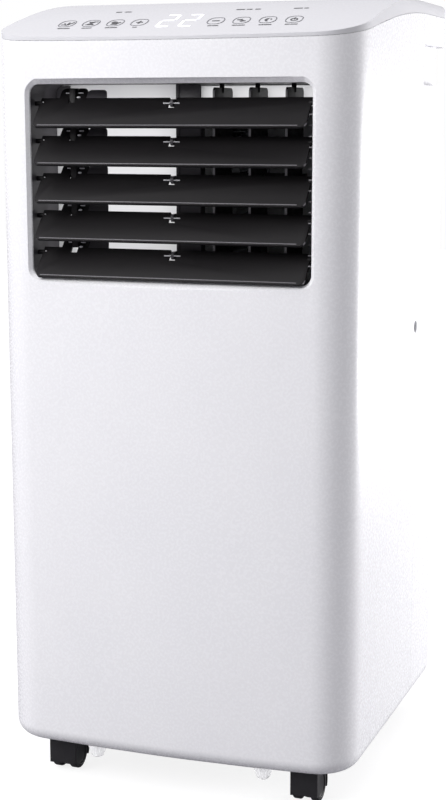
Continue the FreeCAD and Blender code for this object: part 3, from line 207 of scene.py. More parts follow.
# What each moulded, painted or coated finish is made of. Sizes are millimetres on the real surface.
finishes = {
    # ABS from a polished mould: clean white, a soft gloss and a trace of orange peel
    "glossWhiteAbs": {
        "colour": "F6F6F8", "shade": "F1F1F4", "patch": 60, "rough": (0.24, 0.30),
        "grain": 2.2, "depth": 0.0006, "ior": 1.54,
    },
    # painted shade: the same white ABS on the top cover, given a greyer colour than the shell so
    # that the top reads darker
    "paintedShadeWhiteAbs": {
        "colour": "DADADD", "shade": "D6D6DA", "patch": 50, "rough": (0.20, 0.26),
        "grain": 2.0, "depth": 0.001, "ior": 1.54,
    },
    # black ABS from a vapour-blasted mould: satin, greyish where light grazes it
    "satinBlackAbs": {
        "colour": "1D1B1D", "shade": "191819", "patch": 18, "rough": (0.42, 0.52),
        "grain": 0.5, "depth": 0.012, "ior": 1.54, "specular": 0.15,
    },
    # graphite ABS of the outlet's frame: the same satin skin, a shade lighter
    "graphiteAbs": {
        "colour": "4B494D", "shade": "444246", "patch": 20, "rough": (0.40, 0.50),
        "grain": 0.5, "depth": 0.01, "ior": 1.54, "specular": 0.3,
    },
    # painted highlight: a lighter grey for the rims and small ledges of the black mouldings,
    # standing for the light their edges catch
    "paintedHighlightAbs": {
        "colour": "78767A", "shade": "6C6A6E", "patch": 8, "rough": (0.22, 0.34),
        "grain": 0.6, "depth": 0.006, "ior": 1.54,
    },
    # painted highlight: a pale grey for the small clip bars and studs on the louvers, standing for
    # the glints on their pins, slightly waxy in its gloss
    "paintedGlintWhite": {
        "colour": "DCDCDF", "shade": "CFCFD3", "patch": 6, "rough": (0.24, 0.34),
        "grain": 0.5, "depth": 0.004, "ior": 1.48,
    },
    # high-gloss white styrene of the air duct
    "glossWhiteStyrene": {
        "colour": "F2F2F3", "shade": "ECECEE", "patch": 40, "rough": (0.10, 0.16),
        "grain": 3.0, "depth": 0.003, "ior": 1.59,
    },
    # glass-filled nylon: dull charcoal with a fine pebble
    "charcoalNylon": {
        "colour": "2A292C", "shade": "232225", "patch": 9, "rough": (0.50, 0.62),
        "grain": 0.7, "depth": 0.03, "ior": 1.53, "specular": 0.35,
    },
    # nylon of the castor wheels, polished a little by rolling
    "wheelNylon": {
        "colour": "232225", "shade": "1C1B1E", "patch": 7, "rough": (0.36, 0.5),
        "grain": 0.8, "depth": 0.02, "ior": 1.53, "specular": 0.4,
    },
    # black stove enamel on the pressed compressor shell
    "blackEnamel": {
        "colour": "17181A", "shade": "121314", "patch": 25, "rough": (0.22, 0.32),
        "grain": 2.5, "depth": 0.02, "ior": 1.5,
    },
    # nitrile rubber: dead matt, dusty at the edges
    "nitrileRubber": {
        "colour": "242425", "shade": "1B1B1C", "patch": 6, "rough": (0.72, 0.85),
        "grain": 0.6, "depth": 0.03, "ior": 1.52,
    },
    # grey polypropylene of the deck and scrolls, slightly waxy
    "greyPolypropylene": {
        "colour": "BFC1C3", "shade": "B4B6B9", "patch": 35, "rough": (0.42, 0.55),
        "grain": 1.2, "depth": 0.015, "ior": 1.49,
    },
    # off-white polypropylene of the base pan
    "whitePolypropylene": {
        "colour": "E2E2E3", "shade": "D8D8DA", "patch": 45, "rough": (0.40, 0.52),
        "grain": 1.0, "depth": 0.015, "ior": 1.49,
    },
    # grey ABS of the fan wheels
    "fanGreyAbs": {
        "colour": "A0A3A7", "shade": "95989C", "patch": 20, "rough": (0.38, 0.48),
        "grain": 0.9, "depth": 0.012, "ior": 1.54,
    },
    # grey pad-printed ink of the key outlines
    "greyScreenInk": {
        "colour": "6E6E74", "shade": "64646A", "patch": 4, "rough": (0.34, 0.44),
        "grain": 0.4, "depth": 0.004, "ior": 1.5,
    },
    # black pad-printed ink of the signs and labels
    "blackScreenInk": {
        "colour": "37373C", "shade": "2D2D31", "patch": 4, "rough": (0.34, 0.44),
        "grain": 0.4, "depth": 0.004, "ior": 1.5,
    },
    # semi-gloss white ABS of the rear grilles
    "semiGlossWhiteAbs": {
        "colour": "F2F2F4", "shade": "EAEAED", "patch": 30, "rough": (0.32, 0.42),
        "grain": 0.8, "depth": 0.010, "ior": 1.54,
    },
}


def blendColours(tree, factor, first, second, place):
    # sockets 6 and 7 of a colour mix are its two colours
    mix = addNode(tree, "ShaderNodeMix", place, {"Factor": factor}, data_type="RGBA")
    mix.inputs[6].default_value = linear(first)
    if isinstance(second, str):
        mix.inputs[7].default_value = linear(second)
    else:
        tree.links.new(second, mix.inputs[7])
    return mix.outputs[2]


def makeFinish(name, finish):
    material, tree, shader, where = newMaterial(name)
    patches = surfaceNoise(tree, where, finish["patch"], (-700, 200))
    colour = blendColours(tree, patches, finish["colour"], finish["shade"], (-400, 200))
    grain = surfaceNoise(tree, where, finish["grain"], (-700, -200), 3.0)
    low, high = finish["rough"]
    rough = addNode(tree, "ShaderNodeMapRange", (-400, -50), {
        "Value": grain, "From Min": 0.3, "From Max": 0.7, "To Min": low, "To Max": high,
    })
    bump = addNode(tree, "ShaderNodeBump", (-100, -300), {
        "Height": grain, "Distance": finish["depth"] * mm, "Strength": 1.0,
    })
    tree.links.new(colour, shader.inputs["Base Color"])
    tree.links.new(rough.outputs[0], shader.inputs["Roughness"])
    tree.links.new(bump.outputs[0], shader.inputs["Normal"])
    shader.inputs["IOR"].default_value = finish["ior"]
    shader.inputs["Specular IOR Level"].default_value = finish.get("specular", 0.5)
    return material


metals = {
    # zinc plate on pressed steel: cool grey with a faint spangle
    "zincPlate": {"colour": "C3C5C8", "shade": "AEB1B6", "cell": 3.5, "rough": (0.28, 0.42)},
    # drawn copper tube, slightly tarnished
    "drawnCopper": {"colour": "D98B63", "shade": "B46A45", "cell": 14.0, "rough": (0.22, 0.38)},
    # bare aluminium fin stock
    "finAluminium": {"colour": "D9DBDD", "shade": "C6C9CC", "cell": 8.0, "rough": (0.25, 0.36)},
}
# The real fins stand 1.8 mm apart, which is too fine to show, so they are drawn twice as coarse;
# the dark gap colour between them is painted shade
fins = {"spacing": 3.6, "gap": "3A3D40", "depth": 0.4}


def makeMetals():
    for name, metal in metals.items():
        material, tree, shader, where = newMaterial(name)
        cells = addNode(tree, "ShaderNodeTexVoronoi", (-700, 100), {
            "Vector": where, "Scale": grainScale(metal["cell"]),
        })
        noise = surfaceNoise(tree, where, metal["cell"] * 2, (-700, -150), 4.0)
        tone = addNode(tree, "ShaderNodeMath", (-500, 100), {
            0: cells.outputs["Color"], 1: noise,
        }, operation="MULTIPLY").outputs[0]
        colour = blendColours(tree, tone, metal["colour"], metal["shade"], (-300, 150))
        low, high = metal["rough"]
        rough = addNode(tree, "ShaderNodeMapRange", (-300, -100), {
            "Value": noise, "To Min": low, "To Max": high,
        })
        tree.links.new(colour, shader.inputs["Base Color"])
        tree.links.new(rough.outputs[0], shader.inputs["Roughness"])
        shader.inputs["Metallic"].default_value = 1.0
        if name == "finAluminium":
            # painted shade: upright stripes with the shade between the fins painted dark
            stripes = addNode(tree, "ShaderNodeTexWave", (-700, -400), {
                "Vector": where, "Scale": bandScale(fins["spacing"]), "Distortion": 0.0,
            }, wave_type="BANDS", bands_direction="X")
            gapShadeAndDepth = addNode(tree, "ShaderNodeMapRange", (-500, -400), {
                "Value": stripes.outputs["Fac"], "From Min": 0.35, "From Max": 0.6,
            }).outputs[0]
            striped = blendColours(tree, gapShadeAndDepth, fins["gap"], colour, (-100, 150))
            tree.links.new(striped, shader.inputs["Base Color"])
            bump = addNode(tree, "ShaderNodeBump", (-100, -300), {
                "Height": gapShadeAndDepth, "Distance": fins["depth"] * mm,
            })
            tree.links.new(bump.outputs[0], shader.inputs["Normal"])
        materials[name] = material


# Clear polypropylene of the cups: lets light through, a little hazy from its mould
clearCup = {
    "colour": "FDFDFE", "haze": 1.5, "rough": (0.08, 0.28), "depth": 0.05, "ior": 1.49,
    "transmission": 0.45, "glow": 0.18,
}


def makeClearPlastic():
    material, tree, shader, where = newMaterial("clearPolypropylene")
    haze = surfaceNoise(tree, where, clearCup["haze"], (-700, 0), 3.0)
    low, high = clearCup["rough"]
    rough = addNode(tree, "ShaderNodeMapRange", (-400, 0), {
        "Value": haze, "To Min": low, "To Max": high,
    })
    bump = addNode(tree, "ShaderNodeBump", (-100, -300), {
        "Height": haze, "Distance": clearCup["depth"] * mm,
    })
    tree.links.new(rough.outputs[0], shader.inputs["Roughness"])
    tree.links.new(bump.outputs[0], shader.inputs["Normal"])
    shader.inputs["Base Color"].default_value = linear(clearCup["colour"])
    shader.inputs["Transmission Weight"].default_value = clearCup["transmission"]
    # a faint glow stands for the light that the clear wall carries from the room
    shader.inputs["Emission Color"].default_value = linear("FFFFFF")
    shader.inputs["Emission Strength"].default_value = clearCup["glow"]
    shader.inputs["IOR"].default_value = clearCup["ior"]
    materials["clearPolypropylene"] = material


# Green solder mask over copper tracks about 1 mm wide
board = {
    "mask": "1E6B3C", "shade": "1A5E35", "track": "4E9A5B", "grid": 9, "width": 0.05,
    "depth": 0.05, "rough": 0.35,
}


def makeCircuitBoard():
    material, tree, shader, where = newMaterial("solderMask")
    tracks = addNode(tree, "ShaderNodeTexBrick", (-700, 100), {
        "Vector": where, "Scale": grainScale(board["grid"]), "Mortar Size": board["width"],
        "Color1": linear(board["mask"]), "Color2": linear(board["shade"]),
        "Mortar": linear(board["track"]),
    })
    bump = addNode(tree, "ShaderNodeBump", (-200, -300), {
        "Height": tracks.outputs["Fac"], "Distance": board["depth"] * mm,
    })
    tree.links.new(tracks.outputs["Color"], shader.inputs["Base Color"])
    tree.links.new(bump.outputs[0], shader.inputs["Normal"])
    shader.inputs["Roughness"].default_value = board["rough"]
    materials["solderMask"] = material


# Woven nylon net with threads 1.6 mm apart, drawn twice as coarse so that they show; the near-black
# air colour between the threads is painted shade
net = {"spacing": 3.2, "air": "101113", "thread": "55585C", "depth": 0.3, "rough": 0.6}


def makeFilterNet():
    material, tree, shader, where = newMaterial("filterNet")
    bands = []
    for turn, side in enumerate(("X", "Z")):
        wave = addNode(tree, "ShaderNodeTexWave", (-700, 200 - 300 * turn), {
            "Vector": where, "Scale": bandScale(net["spacing"]), "Distortion": 0.0,
        }, wave_type="BANDS", bands_direction=side)
        bands.append(wave.outputs["Fac"])
    threads = addNode(tree, "ShaderNodeMath", (-450, 0), {
        0: bands[0], 1: bands[1],
    }, operation="MAXIMUM")
    edge = addNode(tree, "ShaderNodeMapRange", (-250, 0), {
        "Value": threads.outputs[0], "From Min": 0.6, "From Max": 0.9,
    }).outputs[0]
    colour = blendColours(tree, edge, net["air"], net["thread"], (-50, 100))
    bump = addNode(tree, "ShaderNodeBump", (-50, -300), {
        "Height": edge, "Distance": net["depth"] * mm,
    })
    tree.links.new(colour, shader.inputs["Base Color"])
    tree.links.new(bump.outputs[0], shader.inputs["Normal"])
    shader.inputs["Roughness"].default_value = net["rough"]
    materials["filterNet"] = material


# Milky acrylic over white diodes: a soft glow that is slightly uneven
litDigit = {"colour": "FFFFFF", "shade": "F4F6FF", "patch": 6, "glow": 0.35, "rough": 0.3}


def makeLitDiffuser():
    material, tree, shader, where = newMaterial("litDiffuser")
    glow = surfaceNoise(tree, where, litDigit["patch"], (-700, 0))
    colour = blendColours(tree, glow, litDigit["colour"], litDigit["shade"], (-300, 100))
    tree.links.new(colour, shader.inputs["Base Color"])
    tree.links.new(colour, shader.inputs["Emission Color"])
    shader.inputs["Emission Strength"].default_value = litDigit["glow"]
    shader.inputs["Roughness"].default_value = litDigit["rough"]
    materials["litDiffuser"] = material


# Matt studio paper, with a glow that makes it nearly white, and the dull wool felt under it
papers = {
    "paleFloor": {
        "colour": "8C8C8D", "shade": "888889", "fibre": 400, "rough": 0.9, "glow": 0.84,
    },
    "dullCarpet": {
        "colour": "9A999D", "shade": "929195", "fibre": 60, "rough": 0.95, "glow": 0,
    },
}


def makeFloorPapers():
    for name, paper in papers.items():
        material, tree, shader, where = newMaterial(name)
        fibre = surfaceNoise(tree, where, paper["fibre"], (-700, 0))
        colour = blendColours(tree, fibre, paper["colour"], paper["shade"], (-300, 100))
        tree.links.new(colour, shader.inputs["Base Color"])
        shader.inputs["Roughness"].default_value = paper["rough"]
        shader.inputs["Specular IOR Level"].default_value = 0.1
        shader.inputs["Emission Color"].default_value = linear("FFFFFF")
        shader.inputs["Emission Strength"].default_value = paper["glow"]
        materials[name] = material


castorPlaces = ("front_left", "front_right", "rear_left", "rear_right")
finishOfNode = {
    "glossWhiteAbs": ["front_cover", "rear_cover"],
    "paintedShadeWhiteAbs": ["top_cover"],
    "graphiteAbs": ["louver_frame"],
    "satinBlackAbs": [
        "louver_1", "louver_2", "louver_3", "louver_4", "louver_5",
        "louver_tie_bar", "vane_1", "vane_2", "vane_3", "vane_link",
    ],
    "glossWhiteStyrene": ["outlet_duct"],
    "charcoalNylon": ["castor_" + part + "_" + place
                      for part in ("hood", "wheels") for place in castorPlaces] + ["cable_gland"],
    "clearPolypropylene": ["bumper_cups"],
    "zincPlate": [
        "bumper_screws", "side_screws", "rear_screws", "upper_fan_motor", "lower_fan_motor",
        "run_capacitor", "swing_motor",
    ],
    "drawnCopper": ["discharge_pipe", "suction_pipe", "liquid_line"],
    "finAluminium": ["evaporator", "condenser"],
    "blackEnamel": ["compressor", "accumulator"],
    "nitrileRubber": ["compressor_feet", "upper_drain_plug", "lower_drain_plug"],
    "greyPolypropylene": [
        "partition_deck", "upper_scroll", "lower_scroll", "electrics_box", "exhaust_duct",
        "display_module",
    ],
    "whitePolypropylene": ["base_pan", "drip_tray", "upper_drain_spout", "lower_drain_spout"],
    "fanGreyAbs": ["upper_blower_wheel", "lower_blower_wheel"],
    "semiGlossWhiteAbs": ["filter_grille", "lower_grille", "exhaust_collar"],
    "solderMask": ["control_board"],
    "filterNet": ["filter_mesh"],
}

for name, finish in finishes.items():
    materials[name] = makeFinish(name, finish)
makeMetals()
makeClearPlastic()
makeCircuitBoard()
makeFilterNet()
makeFloorPapers()
makeLitDiffuser()
print("materials:", len(materials))

for finish, members in finishOfNode.items():
    for node in members:
        for holder in nodes[node].material_slots:
            holder.material = materials[finish]
plain = sorted(set(nodes) - set(sum(finishOfNode.values(), [])))
print("nodes without a finish:", plain)

setCamera()
setLights()
layFloor()
print("camera, light and floor are set")


# Building blocks for the pieces. Each one ends as a mesh at the origin that rides on a body.
def clearSelection():
    bpy.ops.object.select_all(action="DESELECT")


def inEditMode(*steps):
    # run a few operators in edit mode with everything selected at the start
    bpy.ops.object.mode_set(mode="EDIT")
    bpy.ops.mesh.select_all(action="SELECT")
    for step in steps:
        step()
    bpy.ops.object.mode_set(mode="OBJECT")


def selectParts(piece, edges=None, faces=None):
    # picks edges or faces by a rule, for the next operator in edit mode
    clearSelection()
    piece.select_set(True)
    bpy.context.view_layer.objects.active = piece
    mesh = piece.data
    chosen = [
        edge for edge in mesh.edges
        if edges and edges([mesh.vertices[i].co for i in edge.vertices])
    ]
    chosen += [face for face in mesh.polygons if faces and faces(face)]
    for part in list(mesh.vertices) + list(mesh.edges) + list(mesh.polygons):
        part.select = False
    for part in chosen:
        part.select = True
        for i in part.vertices:
            mesh.vertices[i].select = True
    bpy.context.tool_settings.mesh_select_mode = (False, bool(edges), bool(faces))


def editParts(step):
    # one operator in edit mode on what selectParts has chosen
    bpy.ops.object.mode_set(mode="EDIT")
    step()
    bpy.ops.object.mode_set(mode="OBJECT")


def addCube(size, place=(0, 0, 0), tilt=0):
    # a block to work on, with its size and place in metres
    clearSelection()
    bpy.ops.mesh.primitive_cube_add(size=1)
    cube = bpy.context.object
    cube.scale = size
    bpy.ops.object.transform_apply(location=False, rotation=False, scale=True)
    cube.rotation_euler = (tilt, 0, 0)
    cube.location = place
    bpy.ops.object.transform_apply()
    return cube


def applyModifier(piece, kind, **settings):
    modifier = piece.modifiers.new(kind.lower(), kind)
    for name, value in settings.items():
        setattr(modifier, name, value)
    bpy.context.view_layer.objects.active = piece
    bpy.ops.object.modifier_apply(modifier=modifier.name)


def joinPieces(pieces, name):
    clearSelection()
    for piece in pieces:
        piece.select_set(True)
    bpy.context.view_layer.objects.active = pieces[0]
    if len(pieces) > 1:
        bpy.ops.object.join()
    bpy.ops.object.transform_apply(location=True, rotation=True, scale=True)
    whole = bpy.context.object
    whole.name = whole.data.name = name
    return whole


def finishPiece(piece, body, finish, replaced=(), smooth=35):
    piece.data.materials.clear()
    piece.data.materials.append(materials[finish])
    clearSelection()
    piece.select_set(True)
    bpy.context.view_layer.objects.active = piece
    bpy.ops.object.shade_smooth_by_angle(angle=math.radians(smooth))
    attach(piece, body)
    if replaced:
        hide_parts(*replaced)


def copyOfNode(node, name):
    # the CAD shape as clean faces, ready for its edges to be rounded
    clearSelection()
    mesh = nodes[node].data.copy()
    piece = bpy.data.objects.new(name, mesh)
    bpy.context.scene.collection.objects.link(piece)
    piece.select_set(True)
    bpy.context.view_layer.objects.active = piece
    bpy.ops.mesh.customdata_custom_splitnormals_clear()
    inEditMode(
        lambda: bpy.ops.mesh.remove_doubles(threshold=0.01 * mm),
        lambda: bpy.ops.mesh.dissolve_limited(angle_limit=math.radians(1)),
    )
    return piece


# Touch panel, in millimetres: keys in two groups, print under them, and two lit digits between
touchPanel = {
    "row": -116, "keyAt": (-105.5, -83.7, -61.7, -40, 27.2, 49.3, 71.7, 94),
    "keySize": (14.4, 23.5), "outline": 0.7, "lean": -0.12, "stand": 0.12, "thick": 0.16,
    "labelRow": -133.5, "labelWidth": 1.7, "labelSplit": 0.42, "labelGap": 0.5,
    "labels": ((-106.9, -95.6), (-85, -75.7), (-63.9, -52.9), (-39.4, -35.2), (25.9, 35.6),
               (46.9, 58.2), (69.3, 80.5), (91.3, 102.3)),
    "lampRow": -69, "lampWidth": 2.6,
    "lamps": ((-80.6, -75.7), (-72.7, -66.9), (28.6, 36.1), (37.9, 42.6), (45.3, 50),
              (79.2, 86.4), (88.2, 91.8)),
    "digitAt": (-22.8, -3.2), "digitRow": -111, "digitSize": (13.5, 47), "digitBar": 3.6,
    "uprightWidth": 0.7, "uprightTrim": 1.4, "digitStand": 0.5,
}
aboveAll = cadBox[1][2] + 0.02  # flat print starts here, over the cover


def addBar(x, y, length, width, angle=0):
    bpy.ops.mesh.primitive_plane_add(size=1, location=(x * mm, y * mm, aboveAll),
                                     rotation=(0, 0, math.radians(angle)))
    bar = bpy.context.object
    bar.scale = (length * mm, width * mm, 1)
    bpy.ops.object.transform_apply(location=False, rotation=False, scale=True)
    inEditMode(lambda: bpy.ops.mesh.subdivide(number_cuts=3))
    return bar


def addDisc(x, y, width, depth, corners=28, angle=0):
    bpy.ops.mesh.primitive_circle_add(vertices=corners, radius=0.5, fill_type="NGON",
                                      location=(x * mm, y * mm, aboveAll),
                                      rotation=(0, 0, math.radians(angle)))
    disc = bpy.context.object
    disc.scale = (width * mm, depth * mm, 1)
    bpy.ops.object.transform_apply(location=False, rotation=False, scale=True)
    return disc


def addRing(x, y, width, depth, line, corners=40, squareness=2.6):
    ring = addDisc(x, y, width, depth, corners)
    for vertex in ring.data.vertices:
        # push the circle out towards its box, for a soft-cornered key
        across, along = vertex.co.x / (width * mm / 2), vertex.co.y / (depth * mm / 2)
        reach = (abs(across) ** squareness + abs(along) ** squareness) ** (-1 / squareness)
        vertex.co.x *= reach
        vertex.co.y *= reach
    inEditMode(
        lambda: bpy.ops.mesh.inset(thickness=line * mm),
        lambda: bpy.ops.mesh.delete(type="FACE"),
    )
    return ring


def addCrescent(x, y, width, depth):
    moon = addDisc(x, y, width, depth, 24)
    for vertex in moon.data.vertices:
        if vertex.co.x > 0:
            vertex.co.x *= -0.35  # folds one half inwards
    return moon


# Generic signs within 9 x 13 mm, key by key: a shape, its offset from the key, its own sizes
keySigns = {
    "swing": ((addBar, -1.5, -2, 1.2, 8, 20), (addBar, 1, -1, 1.2, 10),
              (addBar, 3.2, 0, 1.2, 10, -20), (addBar, -3, -4, 3.5, 1.6)),
    "fan": ((addDisc, 0, 3, 8, 8, 3, 180), (addDisc, 0, -3.4, 9, 9, 3), (addBar, 3, 5, 4, 1.6)),
    "leaf": ((addDisc, -0.5, 0, 6, 10, 16, 20), (addBar, 2.6, -2, 1.2, 8, -25),
             (addBar, 0, -5.5, 6, 1.3)),
    "plus": ((addBar, 0, 0, 6, 1.8), (addBar, 0, 0, 1.3, 9)),
    "minus": ((addBar, 0, 0, 6.5, 2),),
    "mode": ((addBar, -2, 2.5, 5, 1.6, 25), (addBar, 0, 0, 5.5, 1.6, -35),
             (addBar, 1.6, -3, 5, 1.6, 25)),
    "moon": ((addCrescent, 1, 0, 7.5, 11), (addDisc, 2.4, 2, 1.8, 2.6, 12)),
    "power": ((addRing, 0, -0.8, 6.4, 9.6, 1.1, 24, 2.0), (addBar, 0, 3, 1.2, 6)),
}


def leanBack(piece, row):
    for vertex in piece.data.vertices:
        vertex.co.x += touchPanel["lean"] * (vertex.co.y - row * mm)


def layOnTop(piece, stand, thick):
    # drop the flat print on to the sloping cover and give it its thickness
    applyModifier(piece, "SHRINKWRAP", wrap_method="PROJECT", use_project_z=True,
                  use_negative_direction=True, use_positive_direction=False,
                  target=nodes["top_cover"], offset=stand * mm)
    applyModifier(piece, "SOLIDIFY", thickness=thick * mm, offset=1)


def makeKeys():
    width, depth = touchPanel["keySize"]
    row = touchPanel["row"]
    clearSelection()
    outlines = [addRing(x, row, width, depth, touchPanel["outline"]) for x in touchPanel["keyAt"]]
    outlines = joinPieces(outlines, "key_outlines")
    leanBack(outlines, row)
    layOnTop(outlines, touchPanel["stand"], touchPanel["thick"])
    finishPiece(outlines, "body", "greyScreenInk")
    icons = []
    for sign, x in zip(keySigns.values(), touchPanel["keyAt"]):
        clearSelection()
        icons += [shape(x + across, row + along, *sizes) for shape, across, along, *sizes in sign]
    icons = joinPieces(icons, "key_icons")
    leanBack(icons, row)
    layOnTop(icons, touchPanel["stand"], touchPanel["thick"])
    finishPiece(icons, "body", "blackScreenInk")


def makePanelPrint():
    # plain bars stand for the words under the keys and over the lamps
    clearSelection()
    marks = []
    row, width, gap = (touchPanel[key] for key in ("labelRow", "labelWidth", "labelGap"))
    for start, end in touchPanel["labels"]:
        split = start + (end - start) * touchPanel["labelSplit"]
        marks.append(addBar((start + split) / 2, row, split - start - gap, width))
        marks.append(addBar((split + end) / 2, row, end - split - gap, width))
    row, width = touchPanel["lampRow"], touchPanel["lampWidth"]
    for start, end in touchPanel["lamps"]:
        marks.append(addBar((start + end) / 2, row, end - start, width))
    marks = joinPieces(marks, "panel_print")
    layOnTop(marks, touchPanel["stand"], touchPanel["thick"])
    finishPiece(marks, "body", "blackScreenInk")


def makeDigits():
    # two figures of five bars each: three level ones and two uprights
    clearSelection()
    across, along = touchPanel["digitSize"]
    bar = touchPanel["digitBar"]
    row = touchPanel["digitRow"]
    upright = bar * touchPanel["uprightWidth"], along / 2 - bar * touchPanel["uprightTrim"]
    segments = []
    for x in touchPanel["digitAt"]:
        for level in (-1, 0, 1):
            levelRow = row + level * (along - bar) / 2
            segments.append(addBar(x + across / 2, levelRow, across - bar, bar))
        segments.append(addBar(x + across - upright[0] / 2, row + along / 4, *upright))
        segments.append(addBar(x + upright[0] / 2, row - along / 4, *upright))
    digits = joinPieces(segments, "lit_digits")
    leanBack(digits, row)
    layOnTop(digits, touchPanel["stand"] * touchPanel["digitStand"], touchPanel["thick"])
    finishPiece(digits, "body", "litDiffuser")


makeKeys()
makePanelPrint()
makeDigits()
print("touch panel is made")

# Front cover: the outlet's upper bevel is trimmed to an even width along the bowed face
evenBevel = {
    "opening": 609.0, "width": 4.3, "search": (0.3, 6.5), "front": -159.9,
    "straightTo": 116.0, "fadeTo": 122.0, "fadeLift": 1.8,
}


def makeFrontCover():
    cover = copyOfNode("front_cover", "front_shell")
    opening, front, straight, faded = (
        evenBevel[key] for key in ("opening", "front", "straightTo", "fadeTo"))
    low, high = evenBevel["search"]
    for point in cover.data.vertices:
        x, y, z = point.co / mm
        if y < front and opening + low < z < opening + high and abs(x) < faded:
            if abs(x) < straight:
                lift = opening + evenBevel["width"] - z
            else:
                lift = evenBevel["fadeLift"] * (faded - abs(x)) / (faded - straight)
            point.co.z += lift * mm
    finishPiece(cover, "body", "glossWhiteAbs", ("front_cover",), smooth=30)


makeFrontCover()
print("front cover trimmed")


# Air outlet, in millimetres: louvers with a painted highlight on their rims, the link bar, the
# vanes, and the clips, painted pale as glints.
# Distances along a blade start at its pivot, which the pitch repeats downwards.
outlet = {
    "pivot": (-144.7, 593.4), "pitch": 30.85, "tilt": 47, "louvers": 5,
    "round": 0.45, "highlightFrom": 21.5,
    "barHalf": 2.8, "barFront": 5.8, "barRear": 2.5, "barRound": 0.5,
    "crankAt": -90, "crankHalf": 12, "crankRound": 4.5, "crankFrom": 15.3,
    "reflectionTabAt": -69.8, "reflectionTabWidth": 22, "reflectionTabTaper": 0.7, "reflectionTabReach": (3, 14.5),
    "reflectionTabThick": 1.6, "reflectionTabRound": 2.5,
    "clipWire": 0.9, "clipStand": 1.5, "crankClips": ((-97.5, -93.9), (-86.1, -81.5)),
    "crankClipAt": -10.2, "centreClip": (-7.5, 7.0), "centreClipAt": 1.5,
    "crankStud": (-84.6, -5.6), "studStand": 1.3, "studRadius": 1.2,
    "pinGlints": ((-117.6, -114.8), (116.4, 118.2)), "pinGlintAt": -0.2, "pinGlintStand": 1.2,
    "lip": (-113.5, 111.5), "lipAt": 25.0, "lipStand": 1.2, "lipSize": (0.8, 0.4),
    "vaneRound": 0.4, "vaneHighlightDepth": 1.2,
}
tilt = math.radians(outlet["tilt"])


def onBlade(index, distance, offset):
    # y and z of a point along a louver's blade and off its upper face, in millimetres
    pivotY, pivotZ = louverPivot(index)
    return (pivotY - distance * math.cos(tilt) - offset * math.sin(tilt),
            pivotZ - distance * math.sin(tilt) + offset * math.cos(tilt))


def louverPivot(index):
    # the axis that the louver's pins share
    y, z = outlet["pivot"]
    return y, z - outlet["pitch"] * index


def tiltedBar(index, ends, distance, offset, deep, high):
    y, z = onBlade(index, distance, offset)
    start, end = ends
    bar = addCube(((end - start) * mm, deep * mm, high * mm),
                  ((start + end) / 2 * mm, y * mm, z * mm), tilt)
    applyModifier(bar, "BEVEL", width=min(deep, high) * 0.35 * mm, segments=3)
    return bar


def crankStud(index):
    x, distance = outlet["crankStud"]
    y, z = onBlade(index, distance, outlet["studStand"])
    clearSelection()
    bpy.ops.mesh.primitive_uv_sphere_add(segments=16, ring_count=8,
                                         radius=outlet["studRadius"] * mm,
                                         location=(x * mm, y * mm, z * mm))
    stud = bpy.context.object
    stud.scale = (1.5, 0.7, 0.7)  # long and flat
    bpy.ops.object.transform_apply()
    return stud


def paintEdgeHighlight(piece, isHighlightEdge):
    # painted highlight: the rounded edges that show are given a lighter grey than the faces,
    # standing for the light they catch
    piece.data.materials.append(materials["paintedHighlightAbs"])
    for face in piece.data.polygons:
        if isHighlightEdge(face.center / mm, face.normal):
            face.material_index = 1


def roundTheCrank(blade, index):
    pivotY, pivotZ = louverPivot(index)

    def isCorner(ends):
        # the two upright edges at the crank's far end
        middle = (ends[0] + ends[1]) / 2 / mm
        reach = (middle.y - pivotY) * math.cos(tilt) + (middle.z - pivotZ) * math.sin(tilt)
        sides = [abs(abs(end.x / mm - outlet["crankAt"]) - outlet["crankHalf"]) for end in ends]
        upright = abs(ends[0].x - ends[1].x) < 0.1 * mm
        return reach > outlet["crankFrom"] and max(sides) < 0.2 and upright

    selectParts(blade, edges=isCorner)
    editParts(lambda: bpy.ops.mesh.bevel(
        offset=outlet["crankRound"] * mm, segments=5, affect="EDGES", clamp_overlap=True))


def makeLouver(index):
    name = "louver_" + str(index + 1)
    blade = copyOfNode(name, "blade_" + str(index + 1))
    roundTheCrank(blade, index)
    applyModifier(blade, "BEVEL", width=outlet["round"] * mm, segments=2, limit_method="ANGLE",
                  angle_limit=math.radians(40), use_clamp_overlap=True)
    finishPiece(blade, name, "satinBlackAbs", (name,))
    pivotY, pivotZ = louverPivot(index)

    # painted highlight: the bevels along the blade's lower part take the lighter grey
    def isHighlightEdge(at, normal):
        distance = -(at.y - pivotY) * math.cos(tilt) - (at.z - pivotZ) * math.sin(tilt)
        facing = abs(normal.y * -math.sin(tilt) + normal.z * math.cos(tilt))
        return (distance > outlet["highlightFrom"] and facing < 0.97
                and normal.y < 0.6 and normal.z > -0.5)

    paintEdgeHighlight(blade, isHighlightEdge)
    # painted reflection: a grey tab beside the crank that stands for its reflection in the duct
    # wall
    reflectionTab = paintedReflectionTab(index)
    reflectionTab.name = "blade_painted_reflection_" + str(index + 1)
    finishPiece(reflectionTab, name, "graphiteAbs")
    # painted highlight: a raised lip along the lower edge, in the lighter grey that stands for the
    # light line the edge catches
    lip = tiltedBar(index, outlet["lip"], outlet["lipAt"], outlet["lipStand"], *outlet["lipSize"])
    lip.name = "blade_lip_" + str(index + 1)
    finishPiece(lip, name, "paintedHighlightAbs")
    # painted highlights: small clips on the crank, at the blade's middle and by its two pins,
    # coloured pale to stand for the glints on the pins and clips
    wire = outlet["clipWire"]
    runs = [(ends, outlet["crankClipAt"]) for ends in outlet["crankClips"]]
    runs.append((outlet["centreClip"], outlet["centreClipAt"]))
    clips = [tiltedBar(index, ends, at, outlet["clipStand"], wire, wire) for ends, at in runs]
    clips.append(crankStud(index))
    for ends in outlet["pinGlints"]:
        clips.append(tiltedBar(index, ends, outlet["pinGlintAt"], outlet["pinGlintStand"],
                               wire, wire))
    clips = joinPieces(clips, "blade_clips_" + str(index + 1))
    finishPiece(clips, name, "paintedGlintWhite")


